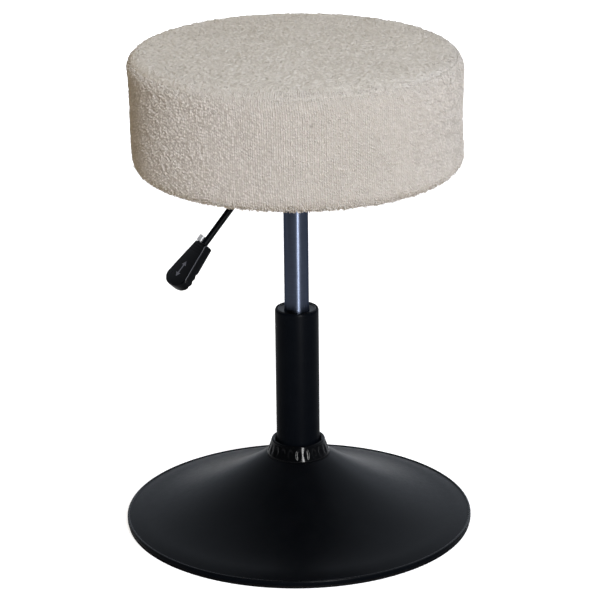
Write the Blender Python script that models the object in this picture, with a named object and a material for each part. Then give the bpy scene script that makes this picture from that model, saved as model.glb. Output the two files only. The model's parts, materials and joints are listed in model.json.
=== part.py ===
"""Swivel vanity stool: a round upholstered seat on a gas lift, over a flared steel base.

Metres, +Z up. The origin is on the floor, on the swivel axis. The release lever points along -X.
The seat is drawn at its full height, and every piece sits where it is at that height.
"""

import math

import bmesh
import bpy
from mathutils import Matrix

# Clearances
FIT_GAP = 0.0003
RUN_GAP = 0.0006

# Base
BASE_DIAMETER = 0.400
FLOOR_RING_HEIGHT = 0.0030
FLOOR_RING_WIDTH = 0.0100
FLOOR_RING_INSET = 0.0008
SHELL_WALL = 0.0016
LIP_HEIGHT = 0.0058
LIP_ROUNDING = 0.0022
HEM_WIDTH = 0.0140
FLARE_HEIGHT = 0.0721
FLARE_POWER = 1.6
NECK_SHELF = 0.0010
BALLAST_THICKNESS = 0.0060
BALLAST_EDGE_THICKNESS = 0.0018
BALLAST_EDGE_OVERLAP = 0.0050
HUB_WALL = 0.0042
HUB_STAND = 0.0090

# Collar round the column's foot
COLLAR_FOOT_WIDTH = 0.0062
COLLAR_ROOF = 0.0090
COLLAR_THROAT_GAP = 0.0018
COLLAR_LIP_WIDTH = 0.0046
COLLAR_ROUNDING = 0.0022
FLUTE_COUNT = 22
FLUTE_DEPTH = 0.0011

# Column
COLUMN_DIAMETER = 0.050
COLUMN_WALL = 0.0020
COLUMN_LENGTH = 0.2371
COLUMN_RECESS = 0.0160
COLUMN_CHAMFER = 0.0020
SOCKET_TAPER = 0.025
COLUMN_LIP_OVERLAP = 0.0040
END_PLATE_THICKNESS = 0.0030
BUSH_LENGTH = 0.0620

# Thrust bearing
BALL_COUNT = 8
BALL_DIAMETER = 0.0040
BALL_CIRCLE_DIAMETER = 0.0240
RACE_THICKNESS = 0.0018
RACE_MARGIN = 0.0015
CAGE_THICKNESS = 0.0020
BUMPER_LENGTH = 0.0150
BUMPER_WALL = 0.0060

# Lift rod
ROD_DIAMETER = 0.0100
ROD_SHOULDER = 0.0010
ROD_TAIL = 0.0020
GROOVE_DEPTH = 0.0008
ROD_WASHER_THICKNESS = 0.0015
ROD_WASHER_WIDTH = 0.0045
ROD_CLIP_THICKNESS = 0.0012
ROD_CLIP_WIDTH = 0.0030
HEAD_LENGTH = 0.0130

# Lift cylinder
CYLINDER_DIAMETER = 0.0280
CYLINDER_WALL = 0.0020
CYLINDER_OVERLAP = 0.0883
CYLINDER_CAP = 0.0030
CYLINDER_STAND = 0.0005
CYLINDER_CRIMP = 0.0015
GUIDE_LENGTH = 0.0140
SEAL_LENGTH = 0.0050
VALVE_LENGTH = 0.0260
BUTTON_DIAMETER = 0.0080
BUTTON_LENGTH = 0.0240
BUTTON_STAND = 0.0037

# Seat plate
SEAT_BASE_HEIGHT = 0.4313
PLATE_THICKNESS = 0.0020
PAN_DEPTH = 0.0345
PAN_WIDTH = 0.1000
PAN_FLARE = 0.0040
PAN_CORNER = 0.0140
FLANGE_EDGE = 0.0120
BOLT_MARGIN = 0.0100
FLANGE_CORNER = 0.0120
SEAT_HUB_WALL = 0.0057
SEAT_HUB_DROP = 0.0150
SEAT_HUB_RISE = 0.0075

# Lever
PIVOT_REACH = 0.0280
PIVOT_PIN_DIAMETER = 0.0050
TONGUE_HEIGHT = 0.0100
TONGUE_WIDTH = 0.0100
TONGUE_NOSE = 0.0060
TONGUE_TAIL = 0.0195
ROD_SOCKET_DEPTH = 0.0115
EAR_THICKNESS = 0.0020
EAR_LENGTH = 0.0100
EAR_RISE = 0.0050
LEVER_ROD_DIAMETER = 0.0074
LEVER_REACH = 0.0597
LEVER_BEND_RADIUS = 0.0120
LEVER_DROP = math.radians(46.4)
LEVER_FREE_LENGTH = 0.0837
LEVER_TRAVEL = math.radians(6.0)
GRIP_LENGTH = 0.0585
GRIP_INNER_WIDTH = 0.0230
GRIP_OUTER_WIDTH = 0.0415
GRIP_THICKNESS = 0.0115
GRIP_ROUNDING = 0.0022
GRIP_SOCKET_DEPTH = 0.0300
SCALLOP_COUNT = 3
SCALLOP_PITCH = 0.0070
SCALLOP_RADIUS = 0.0040
SCALLOP_DEPTH = 0.0012
SCALLOP_END_MARGIN = 0.0085
SCREW_ACROSS_FLATS = 0.0080
SCREW_HEAD_HEIGHT = 0.0072
SCREW_DIAMETER = 0.0040
SCREW_LENGTH = 0.0100
SCREW_RISE = 0.0020

# Seat
SEAT_DIAMETER = 0.372
SEAT_HEIGHT = 0.1310
SEAT_CROWN = 0.0040
SEAT_TOP_ROUNDING = 0.0170
SEAT_BOTTOM_ROUNDING = 0.0155
SEAT_TAPER = 0.0012
SIDE_DRAW_IN = 0.0008
SEAM_DRAW_IN = 0.0009
SEAM_ANGLE = math.radians(45.0)
COVER_THICKNESS = 0.0025
COVER_LAP = 0.0180
BOARD_THICKNESS = 0.0120
BOARD_EDGE_MARGIN = 0.0150
DUST_COVER_THICKNESS = 0.0008
DUST_COVER_LAP = 0.0090
DUST_COVER_MARGIN = 0.0040
BOLT_DIAMETER = 0.0058
BOLT_ACROSS_FLATS = 0.0100
BOLT_HEAD_HEIGHT = 0.0040
BOLT_REACH = 0.0090
BOLT_WASHER_THICKNESS = 0.0016
BOLT_WASHER_WIDTH = 0.0032
T_NUT_WALL = 0.0008
T_NUT_FLANGE_WIDTH = 0.0040
T_NUT_FLANGE_THICKNESS = 0.0012
T_NUT_LENGTH = 0.0090

# Facets
WIDE_STEPS = 44
ROUND_STEPS = 28
SMALL_STEPS = 16
FLARE_POINTS = 8
ARC_POINTS = 4
CROWN_POINTS = 3
SIDE_POINTS = 3
STEPS_PER_FLUTE = 3
FLUTE_BANDS = 4
SHARP_ANGLE = math.radians(32.0)
MERGE_DISTANCE = 0.000001

# Finishes: colour, roughness, metallic
BLACK_COAT = ((0.012, 0.013, 0.015), 0.42, 0.3)
BLACK_PLASTIC = ((0.010, 0.011, 0.013), 0.30, 0.0)
GREY_PLASTIC = ((0.055, 0.058, 0.064), 0.50, 0.0)
RUBBER = ((0.010, 0.010, 0.011), 0.80, 0.0)
DARK_STEEL = ((0.085, 0.098, 0.125), 0.28, 0.9)
BRIGHT_STEEL = ((0.58, 0.59, 0.61), 0.25, 1.0)
CAST_IRON = ((0.030, 0.030, 0.032), 0.70, 0.6)
BRASS = ((0.55, 0.40, 0.16), 0.32, 1.0)
PLYWOOD = ((0.48, 0.33, 0.19), 0.65, 0.0)
FOAM = ((0.72, 0.66, 0.48), 0.95, 0.0)
LOOPED_FABRIC = ((0.55, 0.48, 0.39), 0.95, 0.0)
DUST_CLOTH = ((0.015, 0.015, 0.016), 0.95, 0.0)

# Radii of the base and column, from the axis outwards
base_radius = BASE_DIAMETER / 2
column_radius = COLUMN_DIAMETER / 2
hub_radius = column_radius + FIT_GAP + HUB_WALL
collar_bore = hub_radius + FIT_GAP
collar_foot_radius = collar_bore + COLLAR_FOOT_WIDTH
collar_throat = column_radius + COLLAR_THROAT_GAP
neck_radius = collar_foot_radius + NECK_SHELF

# Heights of the base and column, from the floor up
hem_bottom = FLOOR_RING_HEIGHT + FIT_GAP
rim_top = hem_bottom + LIP_HEIGHT
neck_top = rim_top + FLARE_HEIGHT
ballast_bottom = hem_bottom + SHELL_WALL + FIT_GAP
ballast_top = ballast_bottom + BALLAST_THICKNESS
hub_bottom = ballast_bottom
hub_top = neck_top + HUB_STAND
collar_bottom = neck_top + FIT_GAP
collar_top = hub_top + FIT_GAP + COLLAR_ROOF
column_bottom = hub_bottom + COLUMN_RECESS
column_top = column_bottom + COLUMN_LENGTH

# Heights of the bearing, from the column's lip up
end_plate_bottom = column_bottom + COLUMN_WALL + FIT_GAP
end_plate_top = end_plate_bottom + END_PLATE_THICKNESS
lower_race_bottom = end_plate_top + FIT_GAP
lower_race_top = lower_race_bottom + RACE_THICKNESS
ball_radius = BALL_DIAMETER / 2
ball_circle_radius = BALL_CIRCLE_DIAMETER / 2
ball_centre = lower_race_top + FIT_GAP + ball_radius
upper_race_bottom = ball_centre + ball_radius + FIT_GAP
upper_race_top = upper_race_bottom + RACE_THICKNESS
race_radius = ball_circle_radius + ball_radius + RACE_MARGIN
rod_shoulder = upper_race_top + FIT_GAP
bumper_top = rod_shoulder + BUMPER_LENGTH

# Rod and cylinder
rod_radius = ROD_DIAMETER / 2
rod_neck_radius = rod_radius - ROD_SHOULDER
rod_washer_top = end_plate_bottom - FIT_GAP
rod_washer_bottom = rod_washer_top - ROD_WASHER_THICKNESS
rod_clip_top = rod_washer_bottom - FIT_GAP
rod_clip_bottom = rod_clip_top - ROD_CLIP_THICKNESS
rod_bottom = rod_clip_bottom - FIT_GAP - ROD_TAIL
cylinder_radius = CYLINDER_DIAMETER / 2
cylinder_bore = cylinder_radius - CYLINDER_WALL
cylinder_bottom = column_top - CYLINDER_OVERLAP
guide_bottom = cylinder_bottom + CYLINDER_WALL + FIT_GAP
guide_top = guide_bottom + GUIDE_LENGTH
seal_bottom = guide_top + FIT_GAP
seal_top = seal_bottom + SEAL_LENGTH
head_bottom = seal_top + FIT_GAP
head_top = head_bottom + HEAD_LENGTH

# Seat plate and lever, downwards from the seat board
plate_top = SEAT_BASE_HEIGHT - FIT_GAP
flange_bottom = plate_top - PLATE_THICKNESS
pan_floor_bottom = plate_top - PAN_DEPTH
pan_floor_top = pan_floor_bottom + PLATE_THICKNESS
pan_half_floor = PAN_WIDTH / 2
pan_half_top = pan_half_floor + PAN_FLARE
bolt_place = pan_half_top + BOLT_MARGIN
flange_half = bolt_place + FLANGE_EDGE
flange_reach = (flange_half - FLANGE_CORNER) * math.sqrt(2) + FLANGE_CORNER
seat_hub_bottom = pan_floor_bottom - SEAT_HUB_DROP
seat_hub_top = pan_floor_top + SEAT_HUB_RISE
seat_hub_radius = cylinder_radius + FIT_GAP + SEAT_HUB_WALL
cylinder_top = seat_hub_top + CYLINDER_STAND
cylinder_ceiling = cylinder_top - CYLINDER_CAP
button_radius = BUTTON_DIAMETER / 2
button_top = cylinder_top + BUTTON_STAND
button_bottom = button_top - BUTTON_LENGTH
tongue_bottom = button_top + FIT_GAP
lever_height = tongue_bottom + TONGUE_HEIGHT / 2
lever_rod_radius = LEVER_ROD_DIAMETER / 2
pivot_pin_radius = PIVOT_PIN_DIAMETER / 2
ear_inside = TONGUE_WIDTH / 2 + RUN_GAP
ear_outside = ear_inside + EAR_THICKNESS
screw_side = lever_rod_radius + FIT_GAP + SCREW_ACROSS_FLATS / math.sqrt(3)

# Seat
seat_radius = SEAT_DIAMETER / 2
board_top = SEAT_BASE_HEIGHT + BOARD_THICKNESS
cover_bottom = SEAT_BASE_HEIGHT - FIT_GAP - COVER_THICKNESS
seat_edge_top = cover_bottom + SEAT_HEIGHT
board_radius = seat_radius - SEAT_TAPER - BOARD_EDGE_MARGIN
cover_lap_radius = board_radius - COVER_LAP
dust_cover_top = cover_bottom - FIT_GAP
dust_cover_bottom = dust_cover_top - DUST_COVER_THICKNESS


def clear_scene():
    for item in list(bpy.data.objects):
        bpy.data.objects.remove(item, do_unlink=True)


def joint_empty(name, location, parent=None):
    """An empty on a joint's axis, which carries the pieces that move there."""
    empty = bpy.data.objects.new(name, None)
    bpy.context.scene.collection.objects.link(empty)
    empty.parent = parent
    empty.location = location
    return empty


def own_material(name, finish):
    colour, roughness, metallic = finish
    made = bpy.data.materials.new(name)
    made.use_nodes = True
    shader = made.node_tree.nodes["Principled BSDF"]
    shader.inputs["Base Color"].default_value = (*colour, 1.0)
    shader.inputs["Roughness"].default_value = roughness
    shader.inputs["Metallic"].default_value = metallic
    return made


def add_piece(name, bm, finish, parent):
    """Turns a closed bmesh into a named object with its own material."""
    bmesh.ops.remove_doubles(bm, verts=bm.verts, dist=MERGE_DISTANCE)
    bmesh.ops.recalc_face_normals(bm, faces=bm.faces)
    mesh = bpy.data.meshes.new(name)
    bm.to_mesh(mesh)
    bm.free()
    mesh.shade_smooth()
    mesh.set_sharp_from_angle(angle=SHARP_ANGLE)
    piece = bpy.data.objects.new(name, mesh)
    bpy.context.scene.collection.objects.link(piece)
    piece.parent = parent
    if finish is not None:
        mesh.materials.append(own_material(name, finish))
    return piece


def copy_piece(source, name, finish, location):
    """Another copy of a repeated piece, with its mesh shared and its own material."""
    piece = bpy.data.objects.new(name, source.data)
    bpy.context.scene.collection.objects.link(piece)
    piece.parent = source.parent
    piece.location = location
    piece.material_slots[0].link = "OBJECT"
    piece.material_slots[0].material = own_material(name, finish)
    return piece


def spin_outline(bm, outline, steps):
    """Spins an outline of (radius, height) points about Z. It is closed unless it ends on the axis."""
    ring = [bm.verts.new((radius, 0.0, height)) for radius, height in outline]
    edges = [bm.edges.new(pair) for pair in zip(ring, ring[1:])]
    if outline[0][0] > 0.0:
        edges.append(bm.edges.new((ring[-1], ring[0])))
    bmesh.ops.spin(
        bm, geom=ring + edges, cent=(0, 0, 0), axis=(0, 0, 1), angle=2 * math.pi, steps=steps, use_merge=True
    )


def turned(name, outline, finish, parent, steps=ROUND_STEPS):
    bm = bmesh.new()
    spin_outline(bm, outline, steps)
    return add_piece(name, bm, finish, parent)


def ring_outline(inner, outer, bottom, top):
    return [(inner, top), (outer, top), (outer, bottom), (inner, bottom)]


def disc_outline(radius, bottom, top):
    return [(0.0, top), (radius, top), (radius, bottom), (0.0, bottom)]


def arc(centre, radius, start, end, points):
    """Points (radius, height) on an arc. Angles run from +radius towards +height."""
    turns = [start + (end - start) * step / (points - 1) for step in range(points)]
    return [(centre[0] + radius * math.cos(turn), centre[1] + radius * math.sin(turn)) for turn in turns]


def loft(name, sections, finish, parent):
    """Bridges closed sections of equal point counts and fills the two ends."""
    bm = bmesh.new()
    rings = [[bm.verts.new(point) for point in section] for section in sections]
    count = len(rings[0])
    for lower, upper in zip(rings, rings[1:]):
        for index in range(count):
            after = (index + 1) % count
            bm.faces.new((lower[index], lower[after], upper[after], upper[index]))
    bm.faces.new(rings[0])
    bm.faces.new(rings[-1])
    return add_piece(name, bm, finish, parent)


def rounded_rectangle(half_x, half_y, corner, points=ARC_POINTS):
    """Outline points (x, y) of a rectangle with round corners, counter-clockwise."""
    outline = []
    for quarter, (side_x, side_y) in enumerate(((1, 1), (-1, 1), (-1, -1), (1, -1))):
        centre = (side_x * (half_x - corner), side_y * (half_y - corner))
        start = quarter * math.pi / 2
        outline += arc(centre, corner, start, start + math.pi / 2, points)
    return outline


def rod_along(name, axis, radius, start, end, finish, parent, steps=SMALL_STEPS, around=(0.0, 0.0)):
    """A plain round rod along X, Y or Z, from start to end, about a line through the around point."""
    bm = bmesh.new()
    spin_outline(bm, disc_outline(radius, start, end), steps)
    turn = {
        "x": Matrix.Rotation(math.pi / 2, 4, "Y"),
        "y": Matrix.Rotation(-math.pi / 2, 4, "X"),
        "z": Matrix.Identity(4),
    }[axis]
    shift = {
        "x": (0.0, around[0], around[1]),
        "y": (around[0], 0.0, around[1]),
        "z": (around[0], around[1], 0.0),
    }[axis]
    bmesh.ops.transform(bm, matrix=Matrix.Translation(shift) @ turn, verts=bm.verts)
    return add_piece(name, bm, finish, parent)


def box(name, low, high, parent):
    bm = bmesh.new()
    bmesh.ops.create_cube(bm, size=1.0)
    size = [top - bottom for bottom, top in zip(low, high)]
    middle = [(top + bottom) / 2 for bottom, top in zip(low, high)]
    bmesh.ops.transform(
        bm, matrix=Matrix.Translation(middle) @ Matrix.Diagonal((*size, 1.0)), verts=bm.verts
    )
    return add_piece(name, bm, None, parent)


def cut(piece, cutter):
    """Cuts a hidden guide shape out of a piece."""
    cutter.hide_render = True
    cutter.display_type = "WIRE"
    modifier = piece.modifiers.new(cutter.name, "BOOLEAN")
    modifier.operation = "DIFFERENCE"
    modifier.solver = "EXACT"
    modifier.object = cutter
    return piece


def hole_cutter(name, places, radius, bottom, top, parent, steps=SMALL_STEPS):
    """Upright round cutters at several places, in one hidden object."""
    bm = bmesh.new()
    for place_x, place_y in places:
        before = set(bm.verts)
        spin_outline(bm, disc_outline(radius, bottom, top), steps)
        fresh = [vert for vert in bm.verts if vert not in before]
        bmesh.ops.translate(bm, vec=(place_x, place_y, 0.0), verts=fresh)
    return add_piece(name, bm, None, parent)


def hex_points(across_flats, height):
    corner = across_flats / math.sqrt(3)
    turns = [math.radians(60 * step) for step in range(6)]
    return [(corner * math.cos(turn), corner * math.sin(turn), height) for turn in turns]


def round_points(radius, height, count):
    turns = [2 * math.pi * step / count for step in range(count)]
    return [(radius * math.cos(turn), radius * math.sin(turn), height) for turn in turns]


def hex_screw(name, across_flats, head_height, diameter, length, finish, parent):
    """A hex-headed screw with its head below Z = 0 and its shank above."""
    bm = bmesh.new()
    shank_count = 12
    head = [[bm.verts.new(point) for point in hex_points(across_flats, z)] for z in (-head_height, 0.0)]
    shank = [[bm.verts.new(p) for p in round_points(diameter / 2, z, shank_count)] for z in (0.0, length)]
    bm.faces.new(head[0])
    bm.faces.new(shank[1])
    for lower, upper in (head, shank):
        for index in range(len(lower)):
            after = (index + 1) % len(lower)
            bm.faces.new((lower[index], lower[after], upper[after], upper[index]))
    rim = []
    for ring in (head[1], shank[0]):
        rim += [bm.edges.get((vert, ring[index - 1])) for index, vert in enumerate(ring)]
    bmesh.ops.bridge_loops(bm, edges=rim)
    return add_piece(name, bm, finish, parent)


def flare_height(radius):
    """Height of the shell's outer face at a radius between the neck and the rim."""
    share = (base_radius - radius) / (base_radius - neck_radius)
    return rim_top + FLARE_HEIGHT * max(share, 0.0) ** FLARE_POWER


def flare_radius(height):
    """Radius at which the shell's outer face reaches a height."""
    share = ((height - rim_top) / FLARE_HEIGHT) ** (1 / FLARE_POWER)
    return base_radius - share * (base_radius - neck_radius)


def column_outside(height):
    """Radius of the column's outer face, which tapers inside the hub."""
    return column_radius - SOCKET_TAPER * max(hub_top - height, 0.0)


def cylinder_outside(height):
    """Radius of the lift cylinder's outer face, which tapers inside the seat hub."""
    return cylinder_radius - SOCKET_TAPER * max(height - seat_hub_bottom, 0.0)


def build_base(parent):
    flare = []
    for step in range(FLARE_POINTS):
        radius = neck_radius + (base_radius - LIP_ROUNDING - neck_radius) * step / (FLARE_POINTS - 1)
        flare.append((radius, flare_height(radius)))
    lip_centre = (base_radius - LIP_ROUNDING, flare[-1][1] - LIP_ROUNDING)
    lip = arc(lip_centre, LIP_ROUNDING, math.pi / 2, 0.0, ARC_POINTS)[1:]
    neck_hole = hub_radius + FIT_GAP
    outside = [(neck_hole, neck_top)] + flare + lip + [(base_radius, hem_bottom)]
    inner_rim = base_radius - SHELL_WALL
    hem = [(base_radius - HEM_WIDTH, hem_bottom), (base_radius - HEM_WIDTH, hem_bottom + SHELL_WALL)]
    hem.append((inner_rim, hem_bottom + SHELL_WALL))
    inside = [(inner_rim, lip_centre[1])]
    inside += [(radius, height - SHELL_WALL) for radius, height in reversed(flare)]
    inside.append((neck_hole, neck_top - SHELL_WALL))
    turned("base_shell", outside + hem + inside, BLACK_COAT, parent, WIDE_STEPS)

    ring_outer = base_radius - FLOOR_RING_INSET
    ring = ring_outline(ring_outer - FLOOR_RING_WIDTH, ring_outer, 0.0, FLOOR_RING_HEIGHT)
    turned("floor_ring", ring, RUBBER, parent, WIDE_STEPS)

    edge_radius = base_radius - HEM_WIDTH + BALLAST_EDGE_OVERLAP
    step_radius = flare_radius(ballast_top + SHELL_WALL + 2 * RUN_GAP)
    edge_top = ballast_bottom + BALLAST_EDGE_THICKNESS
    hole = hub_radius + FIT_GAP
    ballast = [(hole, ballast_top), (step_radius, ballast_top), (step_radius, edge_top)]
    ballast += [(edge_radius, edge_top), (edge_radius, ballast_bottom), (hole, ballast_bottom)]
    turned("ballast_plate", ballast, CAST_IRON, parent, WIDE_STEPS)

    bore_top = column_outside(hub_top) + FIT_GAP
    bore_bottom = column_outside(hub_bottom) + FIT_GAP
    hub = [(bore_top, hub_top), (hub_radius, hub_top), (hub_radius, hub_bottom), (bore_bottom, hub_bottom)]
    turned("base_hub", hub, BLACK_COAT, parent)


def build_collar(parent):
    """A moulded ring with oval flutes round its cone."""
    lip_outer = collar_throat + COLLAR_LIP_WIDTH
    cone_top = collar_top - COLLAR_ROUNDING
    cone = []
    for step in range(FLUTE_BANDS + 1):
        share = step / FLUTE_BANDS
        radius = lip_outer + (collar_foot_radius - lip_outer) * share
        cone.append((radius, cone_top + (collar_bottom + FLUTE_DEPTH - cone_top) * share))
    crown = arc((lip_outer - COLLAR_ROUNDING, cone_top), COLLAR_ROUNDING, math.pi / 2, 0.0, ARC_POINTS)[:-1]
    foot = [(collar_foot_radius, collar_bottom), (collar_bore, collar_bottom)]
    cavity = [(collar_bore, hub_top + FIT_GAP), (collar_throat, hub_top + FIT_GAP)]
    throat = [(collar_throat, collar_top - COLLAR_ROUNDING / 2)]
    bm = bmesh.new()
    spin_outline(bm, crown + cone + foot + cavity + throat, FLUTE_COUNT * STEPS_PER_FLUTE)
    for vert in bm.verts:
        share = (cone_top - vert.co.z) / (cone_top - collar_bottom - FLUTE_DEPTH)
        radius = math.hypot(vert.co.x, vert.co.y)
        if 0.0 < share < 1.0 and radius > lip_outer:
            turn = math.atan2(vert.co.y, vert.co.x)
            dip = FLUTE_DEPTH * math.sin(math.pi * share) * (0.5 + 0.5 * math.cos(FLUTE_COUNT * turn))
            vert.co.x *= 1 - dip / radius
            vert.co.y *= 1 - dip / radius
    add_piece("collar", bm, BLACK_PLASTIC, parent)


def build_column(parent):
    inner_radius = column_radius - COLUMN_WALL
    floor_inner = column_outside(column_bottom + COLUMN_WALL) - COLUMN_WALL
    end_plate_radius = column_outside(end_plate_bottom) - COLUMN_WALL - FIT_GAP
    lip_radius = end_plate_radius - COLUMN_LIP_OVERLAP
    tube = [
        (inner_radius, column_top),
        (column_radius - COLUMN_CHAMFER / 2, column_top),
        (column_radius, column_top - COLUMN_CHAMFER),
        (column_radius, hub_top),
        (column_outside(column_bottom), column_bottom),
        (lip_radius, column_bottom),
        (lip_radius, column_bottom + COLUMN_WALL),
        (floor_inner, column_bottom + COLUMN_WALL),
        (inner_radius, hub_top),
    ]
    turned("outer_column", tube, BLACK_COAT, parent)
    plate_hole = rod_neck_radius + RUN_GAP
    plate = ring_outline(plate_hole, end_plate_radius, end_plate_bottom, end_plate_top)
    turned("column_end_plate", plate, BRIGHT_STEEL, parent)
    bush = ring_outline(
        cylinder_radius + FIT_GAP, inner_radius - FIT_GAP, column_top - BUSH_LENGTH, column_top
    )
    turned("guide_bush", bush, GREY_PLASTIC, parent)
    race = ring_outline(plate_hole, race_radius, lower_race_bottom, lower_race_top)
    turned("bearing_lower_race", race, BRIGHT_STEEL, parent)


def build_bearing(parent):
    """The cage and its balls, which roll between the two races."""
    turns = [2 * math.pi * step / BALL_COUNT for step in range(BALL_COUNT)]
    places = [(ball_circle_radius * math.cos(turn), ball_circle_radius * math.sin(turn)) for turn in turns]
    half = CAGE_THICKNESS / 2
    rim = ball_radius + RACE_MARGIN - FIT_GAP
    cage_outline = ring_outline(
        ball_circle_radius - rim, ball_circle_radius + rim, ball_centre - half, ball_centre + half
    )
    cage = turned("bearing_cage", cage_outline, BRASS, parent)
    pockets = hole_cutter(
        "ball_pockets", places, ball_radius + FIT_GAP, ball_centre - CAGE_THICKNESS,
        ball_centre + CAGE_THICKNESS, parent,
    )
    cut(cage, pockets)
    for number, (place_x, place_y) in enumerate(places, 1):
        name = f"bearing_ball_{number}"
        if number == 1:
            bm = bmesh.new()
            bmesh.ops.create_icosphere(bm, subdivisions=2, radius=ball_radius)
            first = add_piece(name, bm, BRIGHT_STEEL, parent)
            first.location = (place_x, place_y, ball_centre)
        else:
            copy_piece(first, name, BRIGHT_STEEL, (place_x, place_y, ball_centre))


def build_rod(parent):
    groove_radius = rod_neck_radius - GROOVE_DEPTH
    head_neck_radius = rod_neck_radius - ROD_SHOULDER / 2
    seat_of_head = head_bottom - FIT_GAP
    rod = [
        (0.0, head_top),
        (head_neck_radius, head_top),
        (head_neck_radius, seat_of_head),
        (rod_radius, seat_of_head),
        (rod_radius, rod_shoulder),
        (rod_neck_radius, rod_shoulder),
        (rod_neck_radius, rod_clip_top + FIT_GAP / 2),
        (groove_radius, rod_clip_top + FIT_GAP / 2),
        (groove_radius, rod_clip_bottom - FIT_GAP),
        (rod_neck_radius, rod_clip_bottom - FIT_GAP),
        (rod_neck_radius, rod_bottom),
        (0.0, rod_bottom),
    ]
    turned("piston_rod", rod, BRIGHT_STEEL, parent, SMALL_STEPS)
    head = ring_outline(head_neck_radius + FIT_GAP, cylinder_bore - FIT_GAP, head_bottom, head_top)
    turned("piston_head", head, BRASS, parent)
    race_bore = rod_neck_radius + FIT_GAP
    race = ring_outline(race_bore, race_radius, upper_race_bottom, upper_race_top)
    turned("bearing_upper_race", race, BRIGHT_STEEL, parent)
    bumper_bore = rod_radius + FIT_GAP
    bumper = ring_outline(bumper_bore, bumper_bore + BUMPER_WALL, rod_shoulder, bumper_top)
    turned("bumper", bumper, RUBBER, parent)
    washer = ring_outline(race_bore, race_bore + ROD_WASHER_WIDTH, rod_washer_bottom, rod_washer_top)
    turned("rod_washer", washer, BRIGHT_STEEL, parent, SMALL_STEPS)
    clip_bore = groove_radius + FIT_GAP
    clip_radius = clip_bore + ROD_CLIP_WIDTH
    clip = turned(
        "rod_clip", ring_outline(clip_bore, clip_radius, rod_clip_bottom, rod_clip_top),
        BRIGHT_STEEL, parent, SMALL_STEPS,
    )
    opening = box(
        "clip_opening", (0.0, -groove_radius, rod_clip_bottom - ROD_CLIP_THICKNESS),
        (2 * clip_radius, groove_radius, rod_clip_top + ROD_CLIP_THICKNESS), parent,
    )
    cut(clip, opening)


def build_cylinder(parent, button_parent):
    crimp_radius = cylinder_bore - CYLINDER_CRIMP
    cap_hole = button_radius + FIT_GAP
    tube = [
        (cap_hole, cylinder_top),
        (cylinder_outside(cylinder_top), cylinder_top),
        (cylinder_radius, seat_hub_bottom),
        (cylinder_radius, cylinder_bottom + CYLINDER_CRIMP),
        (cylinder_radius - CYLINDER_CRIMP, cylinder_bottom),
        (crimp_radius, cylinder_bottom),
        (crimp_radius, cylinder_bottom + CYLINDER_WALL),
        (cylinder_bore, cylinder_bottom + CYLINDER_WALL),
        (cylinder_bore, cylinder_ceiling),
        (cap_hole, cylinder_ceiling),
    ]
    turned("gas_cylinder", tube, DARK_STEEL, parent)
    fitted = cylinder_bore - FIT_GAP
    sliding = rod_radius + FIT_GAP
    turned("rod_guide", ring_outline(sliding, fitted, guide_bottom, guide_top), BRASS, parent)
    turned("rod_seal", ring_outline(sliding, fitted, seal_bottom, seal_top), RUBBER, parent)
    valve_top = cylinder_ceiling - FIT_GAP
    valve = ring_outline(cap_hole, fitted, valve_top - VALVE_LENGTH, valve_top)
    turned("valve_body", valve, BRASS, parent)
    button = disc_outline(button_radius, button_bottom, button_top)
    turned("release_button", button, BRIGHT_STEEL, button_parent, SMALL_STEPS)


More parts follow.
